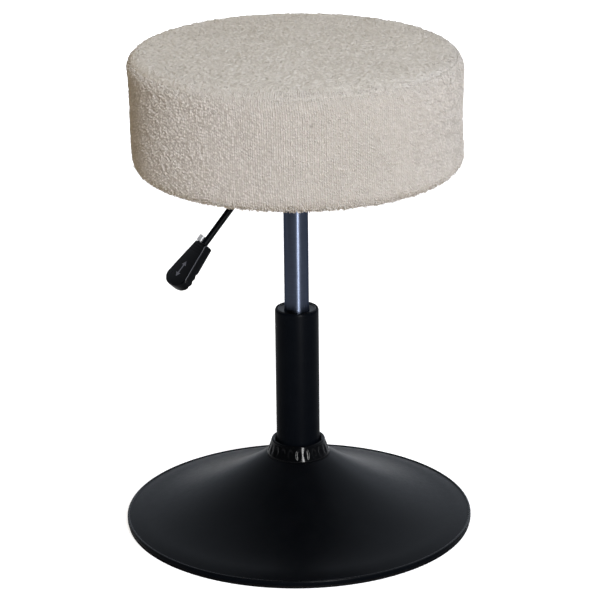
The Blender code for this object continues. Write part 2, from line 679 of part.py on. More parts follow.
def build_seat_plate(parent):
    """A pressed steel pan with a bolting flange, and the tapered hub in its floor."""
    def level(half, corner, height):
        return [(x, y, height) for x, y in rounded_rectangle(half, half, corner)]

    pan_corner_top = PAN_CORNER + PAN_FLARE
    plate = loft(
        "seat_plate",
        [
            level(pan_half_floor, PAN_CORNER, pan_floor_bottom),
            level(pan_half_top, pan_corner_top, flange_bottom),
            level(flange_half, FLANGE_CORNER, flange_bottom),
            level(flange_half, FLANGE_CORNER, plate_top),
        ],
        BLACK_COAT,
        parent,
    )
    open_top = plate_top + PLATE_THICKNESS
    slope = PAN_FLARE / (flange_bottom - pan_floor_bottom)
    hollow = loft(
        "pan_hollow",
        [
            level(pan_half_floor - PLATE_THICKNESS, PAN_CORNER - PLATE_THICKNESS, pan_floor_top),
            level(
                pan_half_floor - PLATE_THICKNESS + slope * (open_top - pan_floor_top),
                pan_corner_top - PLATE_THICKNESS, open_top,
            ),
        ],
        None,
        parent,
    )
    cut(plate, hollow)
    hub_hole = hole_cutter(
        "hub_hole", [(0.0, 0.0)], seat_hub_radius + FIT_GAP, pan_floor_bottom - PLATE_THICKNESS,
        pan_floor_top + PLATE_THICKNESS, parent, ROUND_STEPS,
    )
    cut(plate, hub_hole)
    rise = (pan_half_top - PIVOT_REACH) * math.tan(LEVER_TRAVEL)
    slot_half = lever_rod_radius + RUN_GAP
    slot = box(
        "lever_slot",
        (-pan_half_top - PLATE_THICKNESS, -slot_half, lever_height - slot_half),
        (-pan_half_floor + 2 * PLATE_THICKNESS, slot_half, lever_height + slot_half + rise),
        parent,
    )
    cut(plate, slot)
    bolt_holes = hole_cutter(
        "plate_bolt_holes", bolt_places(), BOLT_DIAMETER / 2 + FIT_GAP, flange_bottom - PLATE_THICKNESS,
        open_top, parent,
    )
    cut(plate, bolt_holes)

    hub = [
        (cylinder_outside(seat_hub_top) + FIT_GAP, seat_hub_top),
        (seat_hub_radius, seat_hub_top),
        (seat_hub_radius, seat_hub_bottom),
        (cylinder_radius + FIT_GAP, seat_hub_bottom),
    ]
    turned("seat_hub", hub, BLACK_COAT, parent)

    base_low = pan_floor_top + FIT_GAP
    base_high = base_low + EAR_THICKNESS
    ear_top = lever_height + EAR_RISE
    section = [
        (-ear_outside, base_low), (ear_outside, base_low), (ear_outside, ear_top), (ear_inside, ear_top),
        (ear_inside, base_high), (-ear_inside, base_high), (-ear_inside, ear_top), (-ear_outside, ear_top),
    ]
    ends = (-PIVOT_REACH - EAR_LENGTH / 2, -PIVOT_REACH + EAR_LENGTH / 2)
    bracket = loft(
        "lever_bracket", [[(x, y, z) for y, z in section] for x in ends], BRIGHT_STEEL, parent
    )
    pin_line = (-PIVOT_REACH, lever_height)
    bracket_hole = rod_along(
        "bracket_hole", "y", pivot_pin_radius + FIT_GAP, -2 * ear_outside, 2 * ear_outside, None, parent,
        around=pin_line,
    )
    cut(bracket, bracket_hole)
    pin_half = ear_outside + EAR_THICKNESS / 2
    rod_along(
        "lever_pivot_pin", "y", pivot_pin_radius, -pin_half, pin_half, BRIGHT_STEEL, parent, around=pin_line
    )


def build_lever(parent):
    """The lever's pieces, drawn about its pivot."""
    half_height = TONGUE_HEIGHT / 2
    half_width = TONGUE_WIDTH / 2
    nose = PIVOT_REACH + TONGUE_NOSE
    tongue_bar = [(y, z) for y, z in rounded_rectangle(half_width, half_height, 0.25 * half_width, 3)]
    tongue_ends = [[(x, y, z) for y, z in tongue_bar] for x in (-TONGUE_TAIL, nose)]
    tongue = loft("lever_tongue", tongue_ends, BRIGHT_STEEL, parent)
    pin_hole = rod_along(
        "tongue_pin_hole", "y", pivot_pin_radius + FIT_GAP, -TONGUE_WIDTH, TONGUE_WIDTH, None, parent
    )
    cut(tongue, pin_hole)
    socket_floor = -TONGUE_TAIL + ROD_SOCKET_DEPTH
    rod_hole = rod_along(
        "tongue_rod_hole", "x", lever_rod_radius + FIT_GAP, -2 * TONGUE_TAIL, socket_floor, None, parent
    )
    cut(tongue, rod_hole)

    corner_x = PIVOT_REACH - LEVER_REACH
    grip_start = (
        corner_x - LEVER_FREE_LENGTH * math.cos(LEVER_DROP), 0.0, -LEVER_FREE_LENGTH * math.sin(LEVER_DROP)
    )
    tangent = LEVER_BEND_RADIUS * math.tan(LEVER_DROP / 2)
    reach_in = LEVER_FREE_LENGTH + GRIP_SOCKET_DEPTH - FIT_GAP
    bend_centre = (corner_x + tangent, -LEVER_BEND_RADIUS)
    bend = arc(bend_centre, LEVER_BEND_RADIUS, math.pi / 2, math.pi / 2 + LEVER_DROP, 2 * ARC_POINTS)
    path = [(socket_floor - FIT_GAP, 0.0)] + bend
    path.append((corner_x - reach_in * math.cos(LEVER_DROP), -reach_in * math.sin(LEVER_DROP)))
    build_lever_rod(path, parent)
    build_grip(grip_start, parent)


def build_lever_rod(path, parent):
    """A round bar swept along a path of (x, z) points."""
    sections = []
    for index, (x, z) in enumerate(path):
        before = path[max(index - 1, 0)]
        after = path[min(index + 1, len(path) - 1)]
        lean = math.atan2(after[1] - before[1], after[0] - before[0]) - math.pi
        ring = round_points(lever_rod_radius, 0.0, SMALL_STEPS)
        sections.append([(x - b * math.sin(lean), a, z + b * math.cos(lean)) for a, b, _ in ring])
    loft("lever_rod", sections, BLACK_COAT, parent)


def grip_half_width(along):
    """Half the grip's width at a distance from its inner end: a wedge with a round far end."""
    end_radius = GRIP_OUTER_WIDTH / 2
    widest = GRIP_LENGTH - 0.6 * end_radius
    if along <= widest:
        return (GRIP_INNER_WIDTH + (GRIP_OUTER_WIDTH - GRIP_INNER_WIDTH) * along / widest) / 2
    share = (along - widest) / (GRIP_LENGTH - widest)
    return end_radius * math.sqrt(max(1.0 - share * share, 0.0))


def build_grip(start, parent):
    """The moulded grip, drawn along its own X from the inner end, broad face up."""
    places = [0.0, 0.12, 0.30, 0.50, 0.70, 0.82, 0.90, 0.96, 0.99]
    sections = []
    half_thick = GRIP_THICKNESS / 2
    for share in places:
        along = share * GRIP_LENGTH
        outline = rounded_rectangle(grip_half_width(along), half_thick, GRIP_ROUNDING, 3)
        sections.append([(along, y, z) for y, z in outline])
    grip = loft("lever_grip", sections, BLACK_PLASTIC, parent)
    socket = rod_along(
        "grip_socket", "x", lever_rod_radius + FIT_GAP, -GRIP_SOCKET_DEPTH, GRIP_SOCKET_DEPTH, None, grip
    )
    cut(grip, socket)
    screw_line = (-screw_side, SCREW_RISE)
    screw_hole = rod_along(
        "screw_hole", "x", SCREW_DIAMETER / 2 + FIT_GAP, -SCREW_LENGTH, SCREW_LENGTH + FIT_GAP, None, grip,
        steps=12, around=screw_line,
    )
    cut(grip, screw_hole)
    for number in range(SCALLOP_COUNT):
        along = GRIP_LENGTH - SCALLOP_END_MARGIN - number * SCALLOP_PITCH
        dip = -half_thick - SCALLOP_RADIUS + SCALLOP_DEPTH
        scallop = rod_along(
            f"scallop_{number + 1}", "y", SCALLOP_RADIUS, -GRIP_OUTER_WIDTH, GRIP_OUTER_WIDTH, None, grip,
            around=(along, dip),
        )
        cut(grip, scallop)
    screw = hex_screw(
        "grip_screw", SCREW_ACROSS_FLATS, SCREW_HEAD_HEIGHT, SCREW_DIAMETER, SCREW_LENGTH, BRIGHT_STEEL,
        parent,
    )
    grip.location = start
    grip.rotation_euler = (0.0, LEVER_DROP, math.pi)
    frame = Matrix.Translation(start) @ grip.rotation_euler.to_matrix().to_4x4()
    turn = Matrix.Rotation(math.pi / 2, 4, "Y")
    seat = Matrix.Translation((-FIT_GAP, *screw_line))
    screw.matrix_local = frame @ seat @ turn


def bolt_places():
    return [(x * bolt_place, y * bolt_place) for x, y in ((1, 1), (-1, 1), (-1, -1), (1, -1))]


def build_fasteners(parent):
    """Bolts, washers and T-nuts that hold the plate to the board."""
    bolt_radius = BOLT_DIAMETER / 2
    washer_top = flange_bottom - FIT_GAP
    washer_bottom = washer_top - BOLT_WASHER_THICKNESS
    head_seat = washer_bottom - FIT_GAP
    shank = SEAT_BASE_HEIGHT + BOLT_REACH - head_seat
    nut_bore = bolt_radius + FIT_GAP
    barrel = nut_bore + T_NUT_WALL
    flange_low = board_top - T_NUT_FLANGE_THICKNESS
    nut_outline = [
        (nut_bore, board_top), (barrel + T_NUT_FLANGE_WIDTH, board_top),
        (barrel + T_NUT_FLANGE_WIDTH, flange_low), (barrel, flange_low),
        (barrel, board_top - T_NUT_LENGTH), (nut_bore, board_top - T_NUT_LENGTH),
    ]
    washer_outline = ring_outline(nut_bore, nut_bore + BOLT_WASHER_WIDTH, washer_bottom, washer_top)
    places = bolt_places()
    bolt = hex_screw(
        "seat_bolt_1", BOLT_ACROSS_FLATS, BOLT_HEAD_HEIGHT, BOLT_DIAMETER, shank, BRIGHT_STEEL, parent
    )
    washer = turned("seat_washer_1", washer_outline, BRIGHT_STEEL, parent, SMALL_STEPS)
    nut = turned("t_nut_1", nut_outline, BRIGHT_STEEL, parent, SMALL_STEPS)
    bolt.location = (*places[0], head_seat)
    washer.location = (*places[0], 0.0)
    nut.location = (*places[0], 0.0)
    for number, place in enumerate(places[1:], 2):
        copy_piece(bolt, f"seat_bolt_{number}", BRIGHT_STEEL, (*place, head_seat))
        copy_piece(washer, f"seat_washer_{number}", BRIGHT_STEEL, (*place, 0.0))
        copy_piece(nut, f"t_nut_{number}", BRIGHT_STEEL, (*place, 0.0))


def build_board(parent):
    outline = disc_outline(board_radius, SEAT_BASE_HEIGHT, board_top)
    board = turned("seat_board", outline, PLYWOOD, parent, WIDE_STEPS)
    barrel = BOLT_DIAMETER / 2 + FIT_GAP + T_NUT_WALL + FIT_GAP
    low = SEAT_BASE_HEIGHT - BOARD_THICKNESS
    high = board_top + BOARD_THICKNESS
    cut(board, hole_cutter("nut_barrels", bolt_places(), barrel, low, high, parent))
    flange_seat = board_top - T_NUT_FLANGE_THICKNESS - FIT_GAP
    flange_hole = barrel + T_NUT_FLANGE_WIDTH
    cut(board, hole_cutter("nut_flanges", bolt_places(), flange_hole, flange_seat, high, parent))


def cover_profile(inset):
    """The padded seat's outline from the crown to the lap under the board, inset by a thickness.

    Returns the top panel's points and the side band's points, which part at the seam."""
    top_centre = (seat_radius - SEAT_TOP_ROUNDING, seat_edge_top - SEAT_TOP_ROUNDING)
    bottom_radius = seat_radius - SEAT_TAPER
    bottom_centre = (bottom_radius - SEAT_BOTTOM_ROUNDING, cover_bottom + SEAT_BOTTOM_ROUNDING)
    crown = []
    for step in range(CROWN_POINTS):
        share = step / CROWN_POINTS
        crown.append((top_centre[0] * share, seat_edge_top + SEAT_CROWN * (1 - share * share) - inset))
    round_top = SEAT_TOP_ROUNDING - inset
    seam_round = round_top - SEAM_DRAW_IN
    part = FIT_GAP / 2 / round_top
    upper = arc(top_centre, round_top, math.pi / 2, SEAM_ANGLE + 6 * part, ARC_POINTS)
    upper += arc(top_centre, seam_round, SEAM_ANGLE + part, SEAM_ANGLE + part, 2)[:1]
    lower = arc(top_centre, seam_round, SEAM_ANGLE - part, SEAM_ANGLE - part, 2)[:1]
    lower += arc(top_centre, round_top, SEAM_ANGLE - 6 * part, 0.0, ARC_POINTS)
    side = []
    for step in range(1, SIDE_POINTS):
        share = step / SIDE_POINTS
        radius = seat_radius - SEAT_TAPER * share - SIDE_DRAW_IN * math.sin(math.pi * share) - inset
        side.append((radius, top_centre[1] + (bottom_centre[1] - top_centre[1]) * share))
    under = arc(bottom_centre, SEAT_BOTTOM_ROUNDING - inset, 0.0, -math.pi / 2, ARC_POINTS)
    under.append((cover_lap_radius, cover_bottom + inset))
    return crown + upper, lower + side + under


def build_upholstery(parent):
    """Foam drum over the board, and the fabric cover sewn from a top panel and a side band."""
    top_outer, band_outer = cover_profile(0.0)
    top_inner, band_inner = cover_profile(COVER_THICKNESS)
    turned("cover_top", top_outer + top_inner[::-1], LOOPED_FABRIC, parent, WIDE_STEPS)
    turned("cover_band", band_outer + band_inner[::-1], LOOPED_FABRIC, parent, WIDE_STEPS)

    top_fill, band_fill = cover_profile(COVER_THICKNESS + FIT_GAP)
    recess = board_radius + FIT_GAP
    ceiling = board_top + FIT_GAP
    last, tip = band_fill[-3:-1]
    share = min((last[0] - recess) / (last[0] - tip[0]), 1.0)
    foam_edge = last[1] + (tip[1] - last[1]) * share
    foam = top_fill + band_fill[:-2] + [(recess, foam_edge), (recess, ceiling), (0.0, ceiling)]
    turned("seat_foam", foam, FOAM, parent, WIDE_STEPS)

    dust = ring_outline(
        flange_reach + DUST_COVER_MARGIN, cover_lap_radius + DUST_COVER_LAP, dust_cover_bottom, dust_cover_top
    )
    turned("dust_cover", dust, DUST_CLOTH, parent, WIDE_STEPS)


def build_stool():
    clear_scene()
    base = joint_empty("base_frame", (0.0, 0.0, 0.0))
    bearing = joint_empty("bearing_axis", (0.0, 0.0, 0.0), base)
    swivel = joint_empty("swivel_axis", (0.0, 0.0, 0.0), base)
    lift = joint_empty("lift_axis", (0.0, 0.0, 0.0), swivel)
    lever = joint_empty("lever_axis", (-PIVOT_REACH, 0.0, lever_height), lift)
    button = joint_empty("button_axis", (0.0, 0.0, 0.0), lift)
    build_base(base)
    build_collar(base)
    build_column(base)
    build_bearing(bearing)
    build_rod(swivel)
    build_cylinder(lift, button)
    build_seat_plate(lift)
    build_lever(lever)
    build_fasteners(lift)
    build_board(lift)
    build_upholstery(lift)


build_stool()
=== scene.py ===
import json
import math

import bmesh
import bpy
import numpy as np
from mathutils import Matrix, Vector, noise


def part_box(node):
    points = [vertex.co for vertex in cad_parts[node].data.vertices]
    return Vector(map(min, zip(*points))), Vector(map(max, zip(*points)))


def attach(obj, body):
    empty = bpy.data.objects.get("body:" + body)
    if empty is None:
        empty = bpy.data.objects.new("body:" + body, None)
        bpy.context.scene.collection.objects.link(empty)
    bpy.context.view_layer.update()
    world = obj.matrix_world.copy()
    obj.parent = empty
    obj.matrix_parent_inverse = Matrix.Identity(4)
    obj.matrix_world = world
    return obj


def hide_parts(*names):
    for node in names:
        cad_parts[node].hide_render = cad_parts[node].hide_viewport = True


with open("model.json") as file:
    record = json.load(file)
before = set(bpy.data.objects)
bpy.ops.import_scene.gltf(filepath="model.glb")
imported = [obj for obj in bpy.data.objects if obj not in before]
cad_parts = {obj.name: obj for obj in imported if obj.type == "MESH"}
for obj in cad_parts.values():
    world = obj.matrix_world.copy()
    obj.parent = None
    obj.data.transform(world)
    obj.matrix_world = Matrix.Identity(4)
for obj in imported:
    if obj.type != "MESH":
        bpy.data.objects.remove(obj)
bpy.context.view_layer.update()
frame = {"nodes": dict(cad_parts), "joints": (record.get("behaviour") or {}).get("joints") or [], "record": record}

generator = np.random.default_rng(7)

# Camera, fitted to the outlines of the seat, column and rim in the photograph
VIEW_AZIMUTH = math.radians(-30.0)
CAMERA_DISTANCE = 3.1
CAMERA_HEIGHT = 1.3718
CAMERA_PITCH = math.radians(19.608)
CAMERA_YAW = math.radians(-0.070)
CAMERA_ROLL = math.radians(-0.633)
CAMERA_LENS = 173.6
SENSOR_WIDTH = 36.0

# Studio: colours, strengths, and the ranges of direction or distance over which they change
WHITE = (1.0, 1.0, 1.0)
PALE_FLOOR = (0.80, 0.80, 0.80)
COOL_FLOOR = (0.40, 0.44, 0.51)
COOL_BACKDROP = (0.82, 0.89, 1.0)
COOL_LIGHT = (0.93, 0.985, 1.10)
WARM_FILL = (1.0, 0.89, 0.72)
WARM_BOUNCE = (0.66, 0.565, 0.43)
FILL_STRENGTH = 0.25
FILL_SIDE = -90.0
FILL_SPAN = (-0.7, 0.9)
STUDIO_FRONT = 0.04
STUDIO_BACKDROP = 1.0
BACKDROP_SIDE = -38.0
BACKDROP_SPAN = (-0.7, 0.95)
STUDIO_CEILING = 0.70
CEILING_SPAN = (0.72, 0.99)
STUDIO_HORIZON = 0.42
HORIZON_SPAN = (0.0, 0.38)
FLOOR_REACH = 14.0
FLOOR_LIFT = (0.74, 0.96)
FLOOR_LIFT_SPAN = (0.3, 3.0)
# Painted shadow, seen only in reflections: over this span of distance from the stool the floor's glow comes back
# into mirrored rays.
FLOOR_MIRRORED_SHADOW_SPAN = (0.21, 0.60)
LAMP_TARGET = (0.0, 0.0, 0.35)
LEFT_LIGHT = (1.0, 0.85, 0.66)
RIM_LIGHT = (0.90, 0.96, 1.10)
TOP_LIGHT = (1.0, 0.84, 0.32)

# Clearance between pieces that fit into each other
FIT_GAP = 0.0003

# Facets of turned pieces
WIDE_STEPS = 192
ROUND_STEPS = 96
SHARP_ANGLE = math.radians(34.0)

# Base
SHELL_WALL = 0.0016
FLARE_POWER = 1.6
FLARE_POINTS = 40
FLARE_CROWDING = 1.3
RIM_BEAD = 0.0017
RIM_BEAD_POINTS = 14
RIM_ROLL_WIDTH = 0.0180
RIM_ROLL_DROP = 0.0028
RIM_BEAD_START = math.radians(150.0)
NECK_SHELF = 0.0010
HEM_WIDTH = 0.0140
LIP_HEIGHT = 0.0058
FOOT_ROUNDING = 0.0010
RUBBED_FROM = 0.55
FLOOR_RING_WIDTH = 0.0100
FLOOR_RING_ROUNDING = 0.0012

# Collar
FLUTE_COUNT = 22
FLUTE_DEPTH = 0.0009
FLUTE_ROWS = 20
FLUTE_MARGIN = 0.12
FLUTE_HALF_WIDTH = 0.62
FLUTE_PHASE = math.radians(2.9)
STEPS_PER_FLUTE = 14
COLLAR_THROAT_GAP = 0.0018
COLLAR_LIP_WIDTH = 0.0042
COLLAR_ROUNDING = 0.0022
COLLAR_FOOT_HEIGHT = 0.0012
COLLAR_CHAMFER = 0.0003

# Column and lift
COLUMN_WALL = 0.0020
COLUMN_LIP_WIDTH = 0.0009
COLUMN_LIP_HEIGHT = 0.0022
SOCKET_TAPER = 0.025
TUBE_SOFTENING = 0.0004
BUSH_BEAD = 0.0016
BUSH_SINK = 0.0010
BUSH_BORE_SINK = 0.0014
BUSH_BORE_CHAMFER = 0.0008
CYLINDER_WALL = 0.0020
CYLINDER_ROOF = 0.0030
CYLINDER_CHAMFER = 0.0015
CYLINDER_CURL = 0.0035

# Seat cover. Its knit and its slight lean run along one direction of the object.
KNIT_AZIMUTH = math.radians(-30.0)
# The hollow colour below is painted shade: the colour the knit is painted in its hollows, where its stored tone is
# low.
FABRIC_HOLLOW_SHADE = (0.385, 0.338, 0.286)
FABRIC_LOOP = (0.815, 0.766, 0.706)
FABRIC_DRIFT = (0.58, 0.53, 0.47)
FABRIC_SPECK = (0.80, 0.76, 0.71)
TOP_ROUNDING = 0.0170
BOTTOM_ROUNDING = 0.0155
SEAT_CROWN = 0.0040
SEAT_TAPER = 0.0012
SIDE_DRAW_IN = 0.0008
CROWN_POWER = 3.0
CROWN_POINTS = 60
ARC_POINTS = 24
SIDE_POINTS = 40
UNDER_POINTS = 32
SEAM_DRAW_IN = 0.0004
SEAM_WIDTH = 0.0014
SEAM_HOLD = 0.0007
SEAM_ANGLE = math.radians(45.0)
LEAN_SIDE = 0.0021
LEAN_SIDE_SPAN = (0.0, 0.022)
LEAN_FOOT = 0.0011
LEAN_FOOT_SPAN = (0.085, 0.115)
COVER_THICKNESS = 0.0025
LINING_GAP = 0.0006
LINING_UNDER_STEP = 10
LINING_SIDE_STEP = 26
LINING_TONE = 0.5
LAP_UNDER_CLOTH = 0.0080
UNEVENNESS = 0.0004
UNEVEN_WAVES = (22.0, 60.0)
RIB_PITCH = 0.00255
RIB_HEIGHT = 0.00270
RIB_SWAY = 0.55
RIB_LEVEL = 0.4
LEAST_LOOP = 0.25
LOOP_FOOT = 0.25
GROOVE_SHARE = 0.22
LOOP_PITCH = 0.0027
ROW_PITCH = 0.00155
NUB_PITCH = 0.0034
NUB_HEIGHT = 0.00040
NUB_FLATNESS = 0.62
NUB_LEVEL = 0.4
LEAST_NUB = 0.4
NUB_ROUNDNESS = 1.7
NUB_SEED = 3.0
NUB_SCATTER = 7.0
# Painted shade on the side band: the stored tone rises with the loops and nubs, so the hollows between them are
# painted darker.
HOLLOW_TONE = 0.1
CHAIN_TONE = 0.8
NUB_TONE = 0.15
TOP_ROW_PITCH = 0.00130
RING_POINTS = 6
CRINKLE_PITCH = 0.0032
CRINKLE_HEIGHT = 0.00190
CRINKLE_LEVEL = 0.5
CRINKLE_WAVES = (0.8, 0.4)
FINER_CRINKLE = 2.1
# Painted shade on the top panel: the crinkle's troughs and the hollows between rib loops are painted darker.
CRINKLE_TONE = (0.3, 0.6)
CRINKLE_LOSS = 0.2
TOP_RIB_HEIGHT = 0.00200
RIBBED_FROM = 0.150
RIBBED_SPAN = (0.153, 0.170)
RIBBED_ENDS = (0.55, 0.9)
EDGE_SPAN = (0.168, 0.177)
FLAT_RIB_SHARE = 0.5
TOP_RIB_TONE = 0.66
# Painted shade on the rolled top edge, which catches the most light: its tone is lowered by this much.
EDGE_PAINTED_SHADE = 0.36
TOP_CHAIN_TONE = 0.6

# Yarn loops and the cloth under the seat
LOOP_COUNT = 4800
LOOP_SHARES = (0.36, 0.64)
LOOP_STEP = 0.0005
LOOP_EDGE_SPAN = (0.140, 0.172)
LOOP_BELOW_SPAN = (0.15, 0.6)
LOOP_LENGTH = (0.0015, 0.0030)
LOOP_HEIGHT = (0.0006, 0.0018)
LOOP_YARN = (0.00020, 0.00036)
LOOP_STATIONS = ((-0.5, -0.25), (-0.32, 0.75), (0.32, 0.75), (0.5, -0.25))
LOOP_LEAN = 0.5
LOOP_TONE = 0.9
LEAST_TOP_WEIGHT = 0.12
LEAST_SIDE_WEIGHT = 0.07
LOWER_LOOP_GAIN = 0.4
LOWER_YARN_GAIN = 0.3
YARN_CORNERS = (0.0, 2.0944, 4.1888)
CLOTH_SAG = 0.0008
CLOTH_RIPPLE = 0.0007
CLOTH_RIPPLE_WAVES = (9.0, 2.5)
CLOTH_FINE_WAVES = 90.0
CLOTH_HEM = 0.0003
CLOTH_HEM_SHARE = 0.06
CLOTH_SHARES = (0.0, 0.02, 0.05, *np.linspace(0.09, 0.91, 22), 0.95, 0.98, 1.0)
CLOTH_TOP_SAG = 0.9
STAPLE_COUNT = 30
STAPLE_SCATTER = 0.03
STAPLE_HALF_SIZE = (0.0006, 0.0050)
STAPLE_ROUNDING = 0.0003
STAPLE_DROP = 0.0009
STAPLE_SINK = 0.0002
STAPLE_INSET = 0.0045

# Lever
LEVER_DROP = math.radians(46.4)
LEVER_REACH = 0.0597
LEVER_BEND_RADIUS = 0.0120
LEVER_BEND_POINTS = 24
LEVER_STEPS = 28
LEVER_FREE_LENGTH = 0.0837
GRIP_LENGTH = 0.0585
GRIP_INNER_WIDTH = 0.0230
GRIP_OUTER_WIDTH = 0.0415
GRIP_THICKNESS = 0.0115
GRIP_CORNER = 0.0022
GRIP_LEAST_HALF = 0.0026
GRIP_END_SHARE = 0.6
GRIP_SHARES = (*np.linspace(0.0, 0.9, 60), *np.linspace(0.905, 0.995, 24))
GRIP_SOCKET_DEPTH = 0.0290
GRIP_PINCH = 0.25
GRIP_PINCH_LENGTH = 0.0016
SCALLOP_PLACES = (0.0485, 0.0415, 0.0345)
SCALLOP_DEPTH = 0.0013
SCALLOP_WIDTH = 0.0021
RIDGED_LENGTH = 0.0160
RIDGE_START = 0.0020
RIDGE_PITCH = 0.0032
RIDGE_HEIGHT = 0.00035
# Painted highlight: a lighter strip on one rounded edge of the grip, along these rows.
HIGHLIGHT_CORNER = 2
HIGHLIGHT_ROWS = (2, 50)
MARK_HEIGHT = 0.00015
MARK_SINK = 0.00005
ARROW_ENDS = (0.0270, 0.0470)
ARROW_HEAD_LENGTH = 0.0050
ARROW_HEAD_HALF = 0.0044
ARROW_SHAFT_HALF = 0.0010


# Materials
NOISE_SPREAD = (0.3, 0.7)
COAT_DARK = (0.0017, 0.0021, 0.0028)
COAT_LIGHT = (0.0026, 0.0031, 0.0040)


def node(tree, kind, **values):
    made = tree.nodes.new(kind)
    for key, value in values.items():
        if key in made.inputs:
            made.inputs[key].default_value = value
        else:
            setattr(made, key, value)
    return made


def noise_texture(tree, coords, scale, detail=3.0, roughness=0.55):
    texture = node(tree, "ShaderNodeTexNoise", Scale=scale, Detail=detail, Roughness=roughness)
    tree.links.new(coords, texture.inputs["Vector"])
    return texture.outputs["Fac"]


def stretched(tree, coords, scale):
    mapping = node(tree, "ShaderNodeMapping", Scale=scale)
    tree.links.new(coords, mapping.inputs["Vector"])
    return mapping.outputs["Vector"]


def ramp(tree, value, low, high, out_low, out_high):
    """Maps a texture's low to high values on to another range, held at its ends."""
    mapped = node(tree, "ShaderNodeMapRange")
    keys = ("From Min", "From Max", "To Min", "To Max")
    for key, number in zip(keys, (low, high, out_low, out_high)):
        mapped.inputs[key].default_value = number
    tree.links.new(value, mapped.inputs["Value"])
    return mapped.outputs["Result"]


def combine(tree, operation, first, second):
    joined = node(tree, "ShaderNodeMath", operation=operation)
    tree.links.new(first, joined.inputs[0])
    tree.links.new(second, joined.inputs[1])
    return joined.outputs["Value"]


def vector_math(tree, operation, vector, other=(0.0, 0.0, 0.0)):
    worked = node(tree, "ShaderNodeVectorMath", operation=operation)
    tree.links.new(vector, worked.inputs[0])
    worked.inputs[1].default_value = other
    return worked.outputs


def mix_colours(tree, factor, first, second):
    mixed = node(tree, "ShaderNodeMix", data_type="RGBA")
    tree.links.new(factor, mixed.inputs["Factor"])
    for socket, colour in zip(("A", "B"), (first, second)):
        target = [s for s in mixed.inputs if s.name == socket and s.type == "RGBA"][0]
        if isinstance(colour, tuple):
            target.default_value = (*colour, 1.0)
        else:
            tree.links.new(colour, target)
    return [s for s in mixed.outputs if s.type == "RGBA"][0]


def start_material(name, **sockets):
    made = bpy.data.materials.new(name)
    made.use_nodes = True
    tree = made.node_tree
    shader = tree.nodes["Principled BSDF"]
    for key, value in sockets.items():
        shader.inputs[key.replace("_", " ")].default_value = value
    coords = node(tree, "ShaderNodeTexCoord").outputs["Object"]
    return made, tree, shader, coords


def add_bump(tree, shader, height, distance, strength=1.0):
    bump = node(tree, "ShaderNodeBump", Strength=strength, Distance=distance)
    tree.links.new(height, bump.inputs["Height"])
    tree.links.new(bump.outputs["Normal"], shader.inputs["Normal"])


def coated(name, dark, light, roughness, peel_scale, peel_depth, specular=0.5, metallic=0.0):
    """A coat or moulding: soft colour drift, uneven gloss and a fine grain in relief."""
    made, tree, shader, coords = start_material(name, Metallic=metallic, Specular_IOR_Level=specular)
    drift = ramp(tree, noise_texture(tree, coords, 38.0), *NOISE_SPREAD, 0.0, 1.0)
    tree.links.new(mix_colours(tree, drift, dark, light), shader.inputs["Base Color"])
    gloss = noise_texture(tree, coords, 160.0, 4.0)
    tree.links.new(ramp(tree, gloss, 0.25, 0.75, *roughness), shader.inputs["Roughness"])
    add_bump(tree, shader, noise_texture(tree, coords, peel_scale, 2.0), peel_depth)
    return made


def drawn_steel(name, dark, light, roughness, stretch, bump=0.00001, **sockets):
    """Drawn or ground steel: fine streaks along one direction."""
    made, tree, shader, coords = start_material(name, Metallic=1.0, **sockets)
    streaks = noise_texture(tree, stretched(tree, coords, stretch), 1.0, 5.0, 0.7)
    drift = noise_texture(tree, coords, 24.0)
    colour = mix_colours(tree, ramp(tree, streaks, *NOISE_SPREAD, 0.0, 1.0), dark, light)
    tree.links.new(colour, shader.inputs["Base Color"])
    tree.links.new(ramp(tree, drift, *NOISE_SPREAD, *roughness), shader.inputs["Roughness"])
    add_bump(tree, shader, streaks, bump)
    return made


def grind_along_turns(finish):
    """Points a finish's grain round the Z axis, as on a ground rod, so its gleam stands upright."""
    tree = finish.node_tree
    tangent = node(tree, "ShaderNodeTangent", direction_type="RADIAL", axis="Z")
    tree.links.new(tangent.outputs["Tangent"], tree.nodes["Principled BSDF"].inputs["Tangent"])


def looped_fabric(name):
    """Beige looped knit with painted shade: darker and browner where the relief tone stored on its mesh is low, in
    the knit's hollows.
    """
    made, tree, shader, coords = start_material(
        name, Roughness=0.95, Specular_IOR_Level=0.12, Sheen_Weight=0.10, Sheen_Roughness=0.6
    )
    relief = node(tree, "ShaderNodeAttribute", attribute_name="relief").outputs["Fac"]
    yarn = noise_texture(tree, coords, 900.0, 2.0, 0.6)
    drift = noise_texture(tree, coords, 30.0, 3.0)
    # Painted shade: the hollow colour is laid on where the stored tone is low.
    base = mix_colours(tree, ramp(tree, relief, 0.05, 0.95, 0.0, 1.0), FABRIC_HOLLOW_SHADE, FABRIC_LOOP)
    warm = mix_colours(tree, ramp(tree, drift, 0.35, 0.65, 0.0, 0.25), base, FABRIC_DRIFT)
    speck = mix_colours(tree, ramp(tree, yarn, 0.45, 0.75, 0.0, 0.45), warm, FABRIC_SPECK)
    tree.links.new(speck, shader.inputs["Base Color"])
    add_bump(tree, shader, yarn, 0.0008, 0.7)
    return made


def woven_cloth(name):
    """Thin black non-woven cloth, pressed in small cells."""
    made, tree, shader, coords = start_material(name, Roughness=0.9, Specular_IOR_Level=0.2)
    cells = node(tree, "ShaderNodeTexVoronoi", Scale=600.0)
    tree.links.new(coords, cells.inputs["Vector"])
    fibres = ramp(tree, noise_texture(tree, coords, 1500.0, 4.0), *NOISE_SPREAD, 0.0, 1.0)
    colour = mix_colours(tree, fibres, (0.008, 0.008, 0.009), (0.03, 0.03, 0.032))
    tree.links.new(colour, shader.inputs["Base Color"])
    add_bump(tree, shader, cells.outputs["Distance"], 0.0004)
    return made


